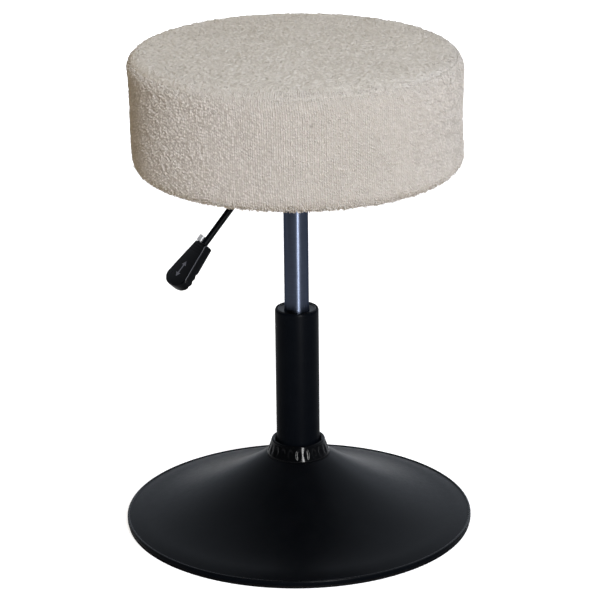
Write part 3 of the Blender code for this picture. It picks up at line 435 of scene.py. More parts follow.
def plywood(name):
    """Fine grain along the board, with darker bands of late wood."""
    made, tree, shader, coords = start_material(name, Roughness=0.7)
    grain = noise_texture(tree, stretched(tree, coords, (12.0, 260.0, 40.0)), 1.0, 6.0, 0.65)
    rings = node(tree, "ShaderNodeTexWave", Scale=9.0, Distortion=5.0, Detail=3.0)
    tree.links.new(stretched(tree, coords, (1.0, 7.0, 1.0)), rings.inputs["Vector"])
    base = mix_colours(tree, grain, (0.38, 0.25, 0.13), (0.58, 0.43, 0.26))
    late = ramp(tree, rings.outputs["Fac"], 0.2, 0.9, 0.0, 0.5)
    colour = mix_colours(tree, late, base, (0.44, 0.29, 0.15))
    tree.links.new(colour, shader.inputs["Base Color"])
    add_bump(tree, shader, grain, 0.0003)
    return made


POWDER_COAT = coated("powder_coat", COAT_DARK, COAT_LIGHT, (0.30, 0.36), 1500.0, 0.00003, 0.070)
RUBBED_COAT = coated("rubbed_coat", COAT_DARK, COAT_LIGHT, (0.24, 0.30), 1500.0, 0.00002, 0.15)
COLUMN_COAT = coated(
    "column_coat", (0.0021, 0.0029, 0.0044), (0.0029, 0.0038, 0.0056), (0.30, 0.38), 1900.0, 0.00002, 0.018
)
GLOSS_PLASTIC = coated(
    "gloss_plastic", (0.0016, 0.0018, 0.0022), (0.0024, 0.0026, 0.0031), (0.11, 0.15), 700.0, 0.00001, 0.07
)
BUSH_PLASTIC = coated(
    "bush_plastic", (0.0022, 0.0026, 0.0034), (0.0036, 0.0040, 0.0048), (0.12, 0.16), 900.0, 0.00001, 0.08
)
GRIP_PLASTIC = coated(
    "grip_plastic", (0.0014, 0.0016, 0.0022), (0.0026, 0.0029, 0.0036), (0.26, 0.36), 1300.0, 0.00003, 0.07
)
RUBBER = coated(
    "black_rubber", (0.0022, 0.0023, 0.0027), (0.0045, 0.0046, 0.0050), (0.65, 0.8), 1100.0, 0.00006, 0.04
)
LIFT_STEEL = drawn_steel(
    "lift_steel", (0.052, 0.061, 0.086), (0.065, 0.076, 0.104), (0.37, 0.41), (30.0, 30.0, 1400.0),
    0.0000005, Specular_Tint=(0.38, 0.39, 0.41, 1.0), Anisotropic=0.85, Anisotropic_Rotation=0.25,
)
grind_along_turns(LIFT_STEEL)
BRIGHT_STEEL = drawn_steel(
    "bright_steel", (0.66, 0.67, 0.69), (0.80, 0.81, 0.83), (0.48, 0.58), (700.0, 700.0, 90.0)
)
CAST_IRON = coated(
    "cast_iron", (0.020, 0.020, 0.022), (0.045, 0.044, 0.045), (0.6, 0.8), 420.0, 0.0003, metallic=0.4
)
BRASS = drawn_steel(
    "brass", (0.50, 0.36, 0.14), (0.62, 0.46, 0.20), (0.26, 0.36), (300.0, 300.0, 900.0)
)
FABRIC = looped_fabric("looped_fabric")
DUST_CLOTH = woven_cloth("dust_cloth")
PLYWOOD = plywood("plywood")
# Painted highlight colour for the grip's edge strip.
EDGE_HIGHLIGHT_PLASTIC = coated(
    "edge_highlight_plastic", (0.060, 0.064, 0.076), (0.085, 0.090, 0.105), (0.4, 0.5), 1300.0, 0.00002
)
FOAM = coated("foam", (0.60, 0.54, 0.38), (0.74, 0.68, 0.50), (0.9, 0.98), 1200.0, 0.0006)
PALE_INK = coated(
    "pale_ink", (0.085, 0.090, 0.110), (0.110, 0.116, 0.140), (0.55, 0.65), 1500.0, 0.00002
)

SLOT_FINISH = {
    "base_coat": POWDER_COAT, "floor_rubber": RUBBER, "ballast_iron": CAST_IRON,
    "collar_plastic": GLOSS_PLASTIC, "bush_plastic": BUSH_PLASTIC, "lift_steel": LIFT_STEEL,
    "bright_steel": BRIGHT_STEEL, "bearing_brass": BRASS, "seal_rubber": RUBBER,
    "lever_coat": COLUMN_COAT, "grip_plastic": GRIP_PLASTIC, "board_wood": PLYWOOD,
    "foam": FOAM, "looped_fabric": FABRIC, "dust_cloth": DUST_CLOTH,
}


# Meshes

def add_object(name, data):
    made = bpy.data.objects.new(name, data)
    bpy.context.scene.collection.objects.link(made)
    return made


def add_piece(name, verts, faces, finish, body, nodes=(), sharp=SHARP_ANGLE):
    """A new piece that rides on a body and stands for the named CAD nodes."""
    mesh = bpy.data.meshes.new(name)
    mesh.from_pydata([tuple(v) for v in verts], [], faces)
    bm = bmesh.new()
    bm.from_mesh(mesh)
    bmesh.ops.recalc_face_normals(bm, faces=bm.faces)
    bm.to_mesh(mesh)
    bm.free()
    if sharp:
        mesh.shade_smooth()
        mesh.set_sharp_from_angle(angle=sharp)
    mesh.materials.append(finish)
    piece = add_object(name, mesh)
    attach(piece, body)
    if nodes:
        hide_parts(*nodes)
    return piece


def closed_faces(rows, columns):
    """Faces of a grid of points that closes on itself both ways."""
    faces = []
    for row in range(rows):
        low, high = row * columns, (row + 1) % rows * columns
        for index in range(columns):
            after = (index + 1) % columns
            faces.append((low + index, high + index, high + after, low + after))
    return faces


def lathe(outline, steps):
    """Vertices and faces of a closed outline of (radius, height) points turned about Z."""
    turns = np.linspace(0.0, math.tau, steps, endpoint=False)
    spokes = list(zip(np.cos(turns), np.sin(turns)))
    verts = [(radius * cos, radius * sin, height) for radius, height in outline for cos, sin in spokes]
    return verts, closed_faces(len(outline), steps)


def arc(centre, radius, start, end, points):
    turns = np.linspace(start, end, points)
    return [(centre[0] + radius * math.cos(t), centre[1] + radius * math.sin(t)) for t in turns]


def softened(outline, radius, points=4):
    """Rounds every corner of a closed outline, by as much as its sides leave room for."""
    made = []
    count = len(outline)
    for index, corner in enumerate(outline):
        here = Vector(corner)
        before = Vector(outline[index - 1]) - here
        after = Vector(outline[(index + 1) % count]) - here
        reach = min(radius, before.length * 0.45, after.length * 0.45)
        start = here + before.normalized() * reach
        end = here + after.normalized() * reach
        for step in range(points):
            share = step / (points - 1)
            point = start.lerp(here, share).lerp(here.lerp(end, share), share)
            made.append((point.x, point.y))
    return made


def turned(name, outline, finish, body, nodes, steps=ROUND_STEPS, soften=0.0):
    verts, faces = lathe(softened(outline, soften) if soften else outline, steps)
    return add_piece(name, verts, faces, finish, body, nodes)


def loft(sections):
    """Vertices and faces that join closed sections of equal point counts, with the ends filled."""
    count = len(sections[0])
    verts = [point for section in sections for point in section]
    faces = []
    for row in range(len(sections) - 1):
        for index in range(count):
            after = (index + 1) % count
            low, high = row * count, (row + 1) * count
            faces.append((low + index, low + after, high + after, high + index))
    faces.append(tuple(range(count)))
    faces.append(tuple(range(len(verts) - count, len(verts))))
    return verts, faces


def lofts(groups):
    """Vertices and faces of several lofts in one mesh."""
    verts, faces = [], []
    for sections in groups:
        points, sides = loft(sections)
        faces += [tuple(len(verts) + corner for corner in side) for side in sides]
        verts += points
    return verts, faces


def about_axis(pairs, cos, sin):
    """Points at (radius, height) pairs, turned about Z by angles with these cosines and sines."""
    radius, height = pairs[..., 0], pairs[..., 1]
    return np.stack([radius * cos, radius * sin, np.broadcast_to(height, cos.shape)], 1)


def rounded_rectangle(half_x, half_y, corner, points=8):
    outline = []
    for quarter, (side_x, side_y) in enumerate(((1, 1), (-1, 1), (-1, -1), (1, -1))):
        centre = (side_x * (half_x - corner), side_y * (half_y - corner))
        start = quarter * math.pi / 2
        outline += arc(centre, corner, start, start + math.pi / 2, points)
    return outline


def radius_of(name):
    low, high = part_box(name)
    return (high.y - low.y) / 2


# Base

def build_base():
    low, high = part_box("base_shell")
    base_radius = high.x
    hem_bottom, neck_top = low.z, high.z
    rim_top = hem_bottom + LIP_HEIGHT
    neck_radius = radius_of("collar") + NECK_SHELF
    neck_hole = radius_of("base_hub") + FIT_GAP
    bead_centre = (base_radius - RIM_BEAD, rim_top - RIM_BEAD)
    bead = arc(bead_centre, RIM_BEAD, RIM_BEAD_START, 0.0, RIM_BEAD_POINTS)
    rim_radius, rim_height = bead[0]
    flare = []
    for share in np.linspace(0.0, 1.0, FLARE_POINTS) ** FLARE_CROWDING:
        radius = neck_radius + (rim_radius - neck_radius) * share
        foot_height = rim_height + RIM_ROLL_DROP
        height = foot_height + (neck_top - foot_height) * (1 - share) ** FLARE_POWER
        rolled = max(0.0, 1 - (rim_radius - radius) / RIM_ROLL_WIDTH)
        flare.append((radius, height - RIM_ROLL_DROP * rolled ** 2))
    foot_centre = (base_radius - FOOT_ROUNDING, hem_bottom + FOOT_ROUNDING)
    foot = arc(foot_centre, FOOT_ROUNDING, 0.0, -math.pi / 2, 5)
    inner_rim = base_radius - SHELL_WALL
    hem_inner, hem_top = base_radius - HEM_WIDTH, hem_bottom + SHELL_WALL
    hem = [(hem_inner, hem_bottom), (hem_inner, hem_top), (inner_rim, hem_top)]
    inside = [(inner_rim, bead_centre[1])] + [(r, z - SHELL_WALL) for r, z in reversed(flare[::3])]
    inside.append((neck_hole, neck_top - SHELL_WALL))
    outline = [(neck_hole, neck_top)] + flare + bead[1:] + foot + hem + inside
    shell = turned(
        "flared_shell", outline, POWDER_COAT, "base", ["base_shell"], WIDE_STEPS
    )
    shell.data.materials.append(RUBBED_COAT)
    shell.data.materials.append(COLUMN_COAT)
    for face in shell.data.polygons:
        if math.hypot(face.center.x, face.center.y) > rim_radius:
            rubbed = face.center.z > bead_centre[1] + RUBBED_FROM * RIM_BEAD
            face.material_index = 1 if rubbed else 2

    low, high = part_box("floor_ring")
    inner = high.x - FLOOR_RING_WIDTH
    section = [(inner, high.z), (high.x, high.z), (high.x, low.z), (inner, low.z)]
    ring = softened(section, FLOOR_RING_ROUNDING, 5)
    turned("rubber_floor_ring", ring, RUBBER, "base", ["floor_ring"], WIDE_STEPS)


def build_collar():
    low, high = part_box("collar")
    foot_radius = high.x
    throat = radius_of("outer_column") + COLLAR_THROAT_GAP
    lip_outer = throat + COLLAR_LIP_WIDTH
    cone_top = high.z - COLLAR_ROUNDING
    bore = radius_of("base_hub") + FIT_GAP
    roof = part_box("base_hub")[1].z + FIT_GAP
    crown = arc((lip_outer - COLLAR_ROUNDING, cone_top), COLLAR_ROUNDING, math.pi / 2, 0.0, 8)[:-1]
    cone = []
    for share in np.linspace(0.0, 1.0, FLUTE_ROWS + 1):
        radius = lip_outer + (foot_radius - lip_outer) * share
        cone.append((radius, cone_top + (low.z + COLLAR_FOOT_HEIGHT - cone_top) * share))
    foot = [(foot_radius, low.z + COLLAR_CHAMFER), (foot_radius - COLLAR_CHAMFER, low.z)]
    foot.append((bore, low.z))
    cavity = [(bore, roof), (throat, roof), (throat, high.z - COLLAR_ROUNDING / 2)]
    outline = crown + cone + foot + cavity
    steps = FLUTE_COUNT * STEPS_PER_FLUTE
    verts, faces = lathe(outline, steps)
    first = len(crown)
    for row in range(FLUTE_ROWS + 1):
        share = (row / FLUTE_ROWS - FLUTE_MARGIN) / (1 - 2 * FLUTE_MARGIN)
        for column in range(steps):
            place = (column % STEPS_PER_FLUTE) / STEPS_PER_FLUTE * 2 - 1
            oval = 1 - (place / FLUTE_HALF_WIDTH) ** 2 - ((share - 0.5) / 0.5) ** 2
            if oval <= 0.0:
                continue
            index = (first + row) * steps + column
            x, y, z = verts[index]
            scale = 1 - FLUTE_DEPTH * math.sqrt(oval) / math.hypot(x, y)
            verts[index] = (x * scale, y * scale, z)
    verts = [Matrix.Rotation(FLUTE_PHASE, 3, "Z") @ Vector(vert) for vert in verts]
    add_piece("fluted_collar", verts, faces, GLOSS_PLASTIC, "base", ["collar"])


def build_column():
    low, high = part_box("outer_column")
    radius = high.x
    inside = radius - COLUMN_WALL
    hub_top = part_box("base_hub")[1].z
    taper = SOCKET_TAPER * (hub_top - low.z)
    tube = [
        (inside, high.z), (radius - COLUMN_LIP_WIDTH, high.z), (radius, high.z - COLUMN_LIP_HEIGHT),
        (radius, hub_top), (radius - taper, low.z), (inside - taper, low.z), (inside, hub_top),
    ]
    turned("column_tube", tube, COLUMN_COAT, "base", ["outer_column"], soften=TUBE_SOFTENING)
    low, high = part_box("guide_bush")
    bore = radius_of("gas_cylinder") + FIT_GAP
    outer = high.x
    top = high.z - BUSH_SINK
    bush = [(bore, high.z - BUSH_BORE_SINK), (bore + BUSH_BORE_CHAMFER, top), (outer - 2 * BUSH_BEAD, top)]
    bush += arc((outer - BUSH_BEAD, high.z - BUSH_BEAD), BUSH_BEAD, 0.75 * math.pi, 0.0, 10)
    bush += [(outer, low.z), (bore, low.z)]
    turned("column_bush", bush, BUSH_PLASTIC, "base", ["guide_bush"])


def build_cylinder():
    low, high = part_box("gas_cylinder")
    radius = radius_of("gas_cylinder")
    hub_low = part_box("seat_hub")[0].z
    hole = radius_of("release_button") + FIT_GAP
    taper = SOCKET_TAPER * (high.z - hub_low)
    inside, curl = radius - CYLINDER_WALL, radius - CYLINDER_CURL
    curl_top, roof = low.z + CYLINDER_WALL, high.z - CYLINDER_ROOF
    tube = [
        (hole, high.z), (radius - taper, high.z), (radius, hub_low), (radius, low.z + CYLINDER_CHAMFER),
        (radius - CYLINDER_CHAMFER, low.z), (curl, low.z), (curl, curl_top), (inside, curl_top),
        (inside, roof), (hole, roof),
    ]
    turned("lift_cylinder", tube, LIFT_STEEL, "seat", ["gas_cylinder"], soften=TUBE_SOFTENING)


# Seat

def profile(inset=0.0):
    """The seat's outline without relief: the top panel's points and the side band's points."""
    low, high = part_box("cover_band")
    radius, bottom = high.x, low.z
    edge_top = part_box("cover_top")[1].z - SEAT_CROWN
    top_centre = (radius - TOP_ROUNDING, edge_top - TOP_ROUNDING)
    crown = []
    for share in np.linspace(0.0, 1.0, CROWN_POINTS):
        crown.append((top_centre[0] * share, edge_top + SEAT_CROWN * (1 - share ** CROWN_POWER) - inset))
    upper = arc(top_centre, TOP_ROUNDING - inset, math.pi / 2, SEAM_ANGLE, ARC_POINTS)[1:]
    lower = arc(top_centre, TOP_ROUNDING - inset, SEAM_ANGLE, 0.0, ARC_POINTS)
    bottom_radius = radius - SEAT_TAPER
    bottom_centre = (bottom_radius - BOTTOM_ROUNDING, bottom + BOTTOM_ROUNDING)
    side = []
    for share in np.linspace(0.0, 1.0, SIDE_POINTS)[1:-1]:
        drawn = radius - SEAT_TAPER * share - SIDE_DRAW_IN * math.sin(math.pi * share) - inset
        side.append((drawn, top_centre[1] + (bottom_centre[1] - top_centre[1]) * share))
    under = arc(bottom_centre, BOTTOM_ROUNDING - inset, 0.0, -math.pi / 2, UNDER_POINTS)
    return crown + upper, lower + side + under


def even_points(path, pitch):
    """Points along a path at an even pitch, with the outward normal and the distance run at each."""
    path = np.array(path)
    steps = np.hypot(*np.diff(path, axis=0).T)
    run = np.concatenate([[0.0], np.cumsum(steps)])
    places = np.linspace(0.0, run[-1], max(int(run[-1] / pitch), 2) + 1)
    points = np.stack([np.interp(places, run, values) for values in path.T], axis=1)
    along = np.gradient(points, axis=0)
    along /= np.hypot(along[:, 0], along[:, 1])[:, None]
    normals = np.stack([-along[:, 1], along[:, 0]], axis=1)
    return points, normals, places


def nub_field(points):
    """Height of the nubs at each point, 0 to 1: rounded cells on a jittered lattice, no two alike."""
    heights = np.empty(len(points))
    across, up = 1 / NUB_PITCH, NUB_FLATNESS / NUB_PITCH
    for index, (x, y, z) in enumerate(points):
        place = Vector((x * across, y * across, z * up + NUB_SEED))
        distances, centres = noise.voronoi(place, distance_metric="DISTANCE")
        share = LEAST_NUB + (1 - LEAST_NUB) * noise.cell(centres[0] * NUB_SCATTER)
        heights[index] = max(0.0, 1.0 - NUB_ROUNDNESS * distances[0] ** 2) * share
    return heights


def unevenness(points):
    """Slow undulation of the padding, within about half a millimetre."""
    slow, quick = UNEVEN_WAVES
    waves = [noise.noise(Vector(p) * slow) + 0.5 * noise.noise(Vector(p) * quick) for p in points]
    return UNEVENNESS * np.array(waves)


# Stores the tone that the fabric material turns into painted shade in the knit's hollows.
def store_painted_shade(piece, values):
    attribute = piece.data.attributes.new("relief", "FLOAT", "POINT")
    attribute.data.foreach_set("value", np.asarray(values, dtype=np.float32))


def seam_dip(distance):
    """How far the cover is drawn in by its seam, at a distance from it."""
    return -SEAM_DRAW_IN * np.exp(-(distance / SEAM_WIDTH) ** 2)


def seam_fade(distance):
    """How much of the knit's relief is left, at a distance from the seam that holds it down."""
    return 1.0 - np.exp(-(distance / SEAM_HOLD) ** 2)


def smooth_step(values, low, high):
    share = np.clip((values - low) / (high - low), 0.0, 1.0)
    return share * share * (3.0 - 2.0 * share)


def band_lean(distance):
    """How far the soft side leans off the top edge to one side, at a distance below the seam."""
    shift = LEAN_SIDE * smooth_step(distance, *LEAN_SIDE_SPAN)
    shift += LEAN_FOOT * smooth_step(distance, *LEAN_FOOT_SPAN)
    return shift[:, None] * np.array((math.cos(KNIT_AZIMUTH), math.sin(KNIT_AZIMUTH), 0.0))


def crinkle_field(points):
    """Height of the top panel's fine crinkle at each point, 0 to 1."""
    heights = np.empty(len(points))
    coarse, fine = CRINKLE_WAVES
    for index, point in enumerate(points):
        place = Vector(point) / CRINKLE_PITCH
        coarse_wave, fine_wave = noise.noise(place), noise.noise(place * FINER_CRINKLE)
        heights[index] = CRINKLE_LEVEL + coarse * coarse_wave + fine * fine_wave
    return np.clip(heights, 0.0, 1.0)


def rib_count():
    return int(round(math.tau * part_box("cover_band")[1].x / RIB_PITCH))


def rib_loops(run):
    """Heights, 0 to 1, and side sway of upright chains of loops, one row per point of the run."""
    ribs = rib_count()
    phases = generator.uniform(0.0, 1.0, ribs)
    along = run[:, None] / LOOP_PITCH + phases[None, :]
    links = np.floor(along).astype(int)
    which = np.arange(ribs)[None, :]
    arch = np.sin(math.pi * (along - links))
    sizes = generator.uniform(LEAST_LOOP, 1.0, (ribs, links.max() + 1))
    swings = generator.uniform(-RIB_SWAY, RIB_SWAY, (ribs, links.max() + 1))
    ridge = sizes[which, links] * (LOOP_FOOT + (1 - LOOP_FOOT) * arch)
    swing = swings[which, links] * arch
    groove = GROOVE_SHARE * (ridge + np.roll(ridge, -1, axis=1)) / 2
    between = (swing + np.roll(swing, -1, axis=1)) / 2
    shape = (len(run), ribs * 2)
    heights = np.stack([ridge, groove], axis=2).reshape(shape)
    return heights, np.stack([swing, between], axis=2).reshape(shape)


def build_cover_band():
    _, band = profile()
    points, normals, run = even_points(band, ROW_PITCH)
    columns = 2 * rib_count()
    chain, sway = rib_loops(run)
    turns = math.tau * np.arange(columns) / columns
    rows = len(points)
    flat = np.empty((rows * columns, 3))
    outward = np.empty((rows * columns, 3))
    for row in range(rows):
        span = slice(row * columns, (row + 1) * columns)
        swayed = turns + sway[row] * math.tau / columns
        cos, sin = np.cos(swayed), np.sin(swayed)
        flat[span] = about_axis(points[row], cos, sin)
        outward[span] = about_axis(normals[row], cos, sin)
    nubs = nub_field(flat)
    chain = chain.ravel()
    from_seam = np.repeat(run, columns)
    knit = (chain - RIB_LEVEL) * RIB_HEIGHT + (nubs - NUB_LEVEL) * NUB_HEIGHT
    relief = knit * seam_fade(from_seam) + unevenness(flat) + seam_dip(from_seam)
    lean = band_lean(from_seam)
    verts = flat + outward * relief[:, None] + lean
    # Painted shade: low tone in the hollows between loops and nubs, painted darker by the fabric material.
    shade_tone = np.clip(HOLLOW_TONE + CHAIN_TONE * chain + NUB_TONE * nubs, 0.0, 1.0)

    inner_lap = radius_of("dust_cover") - LAP_UNDER_CLOTH
    lap_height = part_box("cover_band")[0].z
    lining = [(inner_lap, lap_height), (inner_lap, lap_height + COVER_THICKNESS)]
    hidden = profile(COVER_THICKNESS + LINING_GAP)[1][::-1]
    lining += hidden[:UNDER_POINTS - 1:LINING_UNDER_STEP] + hidden[UNDER_POINTS + 2::LINING_SIDE_STEP]
    rings = [about_axis(np.array(pair), np.cos(turns), np.sin(turns)) + lean[-1] for pair in lining]
    verts = np.concatenate([verts] + rings)
    faces = closed_faces(rows + len(lining), columns)
    piece = add_piece(
        "fabric_band", verts, faces, FABRIC, "seat", ["cover_band", "seat_foam"], None
    )
    store_painted_shade(piece, np.concatenate([shade_tone, np.full(len(verts) - len(shade_tone), LINING_TONE)]))


def build_cover_top():
    top, _ = profile()
    points, normals, run = even_points(top, TOP_ROW_PITCH)
    columns = 2 * rib_count()
    counts = [1]
    for radius in points[1:, 0]:
        rings = max(1, int(round(radius / TOP_ROW_PITCH)))
        counts.append(columns if radius > RIBBED_FROM else RING_POINTS * rings)
    starts = np.concatenate([[0], np.cumsum(counts)[:-1]])
    turns = np.concatenate([math.tau * np.arange(count) / count for count in counts])
    row_of = np.repeat(np.arange(len(counts)), counts)
    cos, sin = np.cos(turns), np.sin(turns)
    flat = about_axis(points[row_of], cos, sin)
    outward = about_axis(normals[row_of], cos, sin)
    distance = run[-1] - run[row_of]
    first_ribbed = counts.index(columns)
    chain = np.zeros(len(flat))
    chain[starts[first_ribbed]:] = rib_loops(run[first_ribbed:])[0].ravel()
    radius = points[row_of, 0]
    along_knit = np.abs(math.sin(KNIT_AZIMUTH) * cos - math.cos(KNIT_AZIMUTH) * sin)
    ribbed = smooth_step(radius, *RIBBED_SPAN) * smooth_step(along_knit, *RIBBED_ENDS)
    crinkle = crinkle_field(flat)
    rolled = smooth_step(radius, *EDGE_SPAN)
    rib_share = FLAT_RIB_SHARE + (1 - FLAT_RIB_SHARE) * rolled
    knit = ribbed * (chain - RIB_LEVEL) * TOP_RIB_HEIGHT * rib_share
    knit += (1 - CRINKLE_LOSS * ribbed) * (crinkle - CRINKLE_LEVEL) * CRINKLE_HEIGHT
    relief = knit * seam_fade(distance) + unevenness(flat) + seam_dip(distance)
    verts = flat + outward * relief[:, None]
    # Painted shade: the hollows of the rib loops and of the crinkle get a low tone, and the rolled edge, which
    # catches the most light, a lower one.
    ribbed_shade_tone = TOP_RIB_TONE - EDGE_PAINTED_SHADE * rolled + TOP_CHAIN_TONE * chain
    plain_shade_tone = CRINKLE_TONE[0] + CRINKLE_TONE[1] * crinkle
    shade_tone = np.clip(ribbed * ribbed_shade_tone + (1 - ribbed) * plain_shade_tone, 0.0, 1.0)
    faces = []
    for row in range(len(counts) - 1):
        inner, outer = counts[row], counts[row + 1]
        i = j = 0
        while i < inner or j < outer:
            a = starts[row] + i % inner
            b = starts[row + 1] + j % outer
            if j < outer and (i >= inner or (j + 1) / outer <= (i + 1) / inner or inner == 1):
                faces.append((a, b, starts[row + 1] + (j + 1) % outer))
                j += 1
                if inner == 1 and j == outer:
                    break
            else:
                faces.append((a, b, starts[row] + (i + 1) % inner))
                i += 1
    rim, under = starts[-1], len(verts)
    inner_edge = np.array(profile(COVER_THICKNESS)[0][-1])
    verts = np.concatenate([verts, about_axis(inner_edge, cos[rim:], sin[rim:])])
    for index in range(columns):
        after = (index + 1) % columns
        faces.append((rim + index, under + index, under + after, rim + after))
    faces.append(tuple(range(under, under + columns)))
    piece = add_piece("fabric_top", verts, faces, FABRIC, "seat", ["cover_top"], None)
    store_painted_shade(piece, np.concatenate([shade_tone, np.full(columns, LINING_TONE)]))


def build_loops():
    """Loops of yarn that stand out of the knit, seen best along the seat's outline."""
    top, band = profile()
    places, normals = [], []
    for path, share in zip((top, band), LOOP_SHARES):
        points, outward, run = even_points(path, LOOP_STEP)
        if path is top:
            weights = points[:, 0] * (LEAST_TOP_WEIGHT + smooth_step(points[:, 0], *LOOP_EDGE_SPAN))
        else:
            weights = LEAST_SIDE_WEIGHT + np.abs(outward[:, 1])
        picks = generator.choice(len(points), int(LOOP_COUNT * share), p=weights / weights.sum())
        turns = generator.uniform(0.0, math.tau, len(picks))
        cos, sin = np.cos(turns), np.sin(turns)
        place = about_axis(points[picks], cos, sin)
        places.append(place if path is top else place + band_lean(run[picks]))
        normals.append(about_axis(outward[picks], cos, sin))
    places, normals = np.concatenate(places), np.concatenate(normals)
    count = len(places)
    spread = generator.normal(size=(count, 3))
    along = np.cross(normals, spread)
    along /= np.linalg.norm(along, axis=1)[:, None]
    across = np.cross(normals, along)
    length = generator.uniform(*LOOP_LENGTH, count)[:, None]
    below = smooth_step(-normals[:, 2], *LOOP_BELOW_SPAN)[:, None]
    height = generator.uniform(*LOOP_HEIGHT, count)[:, None] * (1 + LOWER_LOOP_GAIN * below)
    yarn = generator.uniform(*LOOP_YARN, count)[:, None] * (1 + LOWER_YARN_GAIN * below)
    lean = generator.uniform(-LOOP_LEAN, LOOP_LEAN, count)[:, None]
    verts = []
    for reach, rise in LOOP_STATIONS:
        middle = places + along * length * reach + (normals + across * lean) * height * rise
        radial = along * reach * 2 + normals * rise
        radial /= np.linalg.norm(radial, axis=1)[:, None]
        for turn in YARN_CORNERS:
            verts.append(middle + (radial * math.cos(turn) + across * math.sin(turn)) * yarn)
    verts = np.stack(verts, 1).reshape(-1, 3)
    pattern = []
    size, tail = len(LOOP_STATIONS) * 3, len(LOOP_STATIONS) * 3 - 3
    for low in range(0, tail, 3):
        for side in range(3):
            high, after = low + 3, (side + 1) % 3
            pattern.append((low + side, low + after, high + after, high + side))
    caps = [(2, 1, 0), (tail, tail + 1, tail + 2)]
    faces = []
    for first in range(0, count * size, size):
        faces += [tuple(first + corner for corner in face) for face in pattern + caps]
    piece = add_piece("fabric_loops", verts, faces, FABRIC, "seat", (), math.pi)
    # The standing loops get almost none of the knit's painted shade.
    store_painted_shade(piece, np.full(len(verts), LOOP_TONE))


def build_dust_cover():
    """The cloth stapled under the seat: a thin ring with a folded edge, slightly slack and rippled."""
    low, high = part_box("dust_cover")
    outer = radius_of("dust_cover")
    mesh = frame["nodes"]["dust_cover"].data
    inner = min(math.hypot(vert.co.x, vert.co.y) for vert in mesh.vertices)
    sections = []
    waves_round, waves_across = CLOTH_RIPPLE_WAVES
    for step in range(WIDE_STEPS * 2):
        turn = math.pi * step / WIDE_STEPS
        across = Vector((math.cos(turn), math.sin(turn), 0.0))
        under, over = [], []
        for share in CLOTH_SHARES:
            place = across * (inner + (outer - inner) * share)
            slack = math.sin(math.pi * share)
            ripple = noise.noise(Vector((turn * waves_round, share * waves_across, 0.0)))
            ripple += noise.noise(place * CLOTH_FINE_WAVES) * 0.5
            hem = CLOTH_HEM if 0.0 < min(share, 1.0 - share) < CLOTH_HEM_SHARE else 0.0
            sag = slack * (CLOTH_SAG + CLOTH_RIPPLE * ripple) + hem
            under.append(place + Vector((0.0, 0.0, low.z - sag)))
            over.append(place + Vector((0.0, 0.0, high.z - sag * CLOTH_TOP_SAG)))
        sections.append(under + over[::-1])
    verts = [point for section in sections for point in section]
    faces = closed_faces(len(sections), len(sections[0]))
    add_piece("dust_cloth", verts, faces, DUST_CLOTH, "seat", ["dust_cover"])

    staples = []
    crown = rounded_rectangle(*STAPLE_HALF_SIZE, STAPLE_ROUNDING, 3)
    levels = (low.z - STAPLE_DROP, low.z + STAPLE_SINK)
    middle = outer - STAPLE_INSET
    for step in range(STAPLE_COUNT):
        turn = math.tau * step / STAPLE_COUNT + STAPLE_SCATTER * math.sin(step * 5.0)
        spin = Matrix.Rotation(turn, 4, "Z")
        staples.append([[spin @ Vector((middle + x, y, z)) for x, y in crown] for z in levels])
    verts, faces = lofts(staples)
    add_piece("staples", verts, faces, BRIGHT_STEEL, "seat")


# Lever

def swept(path, radius, steps):
    """A round bar along (x, z) points."""
    sections = []
    for index, (x, z) in enumerate(path):
        before = path[max(index - 1, 0)]
        after = path[min(index + 1, len(path) - 1)]
        lean = math.atan2(after[1] - before[1], after[0] - before[0]) - math.pi
        ring = []
        for step in range(steps):
            turn = math.tau * step / steps
            a, b = radius * math.cos(turn), radius * math.sin(turn)
            ring.append((x - b * math.sin(lean), a, z + b * math.cos(lean)))
        sections.append(ring)
    return loft(sections)


def build_lever():
    pivot = Vector([j for j in frame["joints"] if j["name"] == "lever_lift"][0]["pos_m"])
    radius = radius_of("lever_rod")
    corner_x = -LEVER_REACH
    tangent = LEVER_BEND_RADIUS * math.tan(LEVER_DROP / 2)
    bend_centre = (corner_x + tangent, pivot.z - LEVER_BEND_RADIUS)
    bend = arc(bend_centre, LEVER_BEND_RADIUS, math.pi / 2, math.pi / 2 + LEVER_DROP, LEVER_BEND_POINTS)

    def down_slope(length):
        return corner_x - length * math.cos(LEVER_DROP), pivot.z - length * math.sin(LEVER_DROP)

    start = (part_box("lever_rod")[1].x, pivot.z)
    end = down_slope(LEVER_FREE_LENGTH + GRIP_SOCKET_DEPTH)
    verts, faces = swept([start] + bend + [end], radius, LEVER_STEPS)
    add_piece("bent_lever_rod", verts, faces, COLUMN_COAT, "lever", ["lever_rod"])

    grip_x, grip_z = down_slope(LEVER_FREE_LENGTH)
    place = Vector((grip_x, 0.0, grip_z))
    turn = Matrix.Rotation(math.pi, 4, "Z") @ Matrix.Rotation(LEVER_DROP, 4, "Y")
    build_grip(Matrix.Translation(place) @ turn)


def grip_half_width(along):
    end_radius = GRIP_OUTER_WIDTH / 2
    widest = GRIP_LENGTH - GRIP_END_SHARE * end_radius
    if along <= widest:
        return (GRIP_INNER_WIDTH + (GRIP_OUTER_WIDTH - GRIP_INNER_WIDTH) * along / widest) / 2
    share = (along - widest) / (GRIP_LENGTH - widest)
    return end_radius * math.sqrt(max(1.0 - share * share, 0.0))


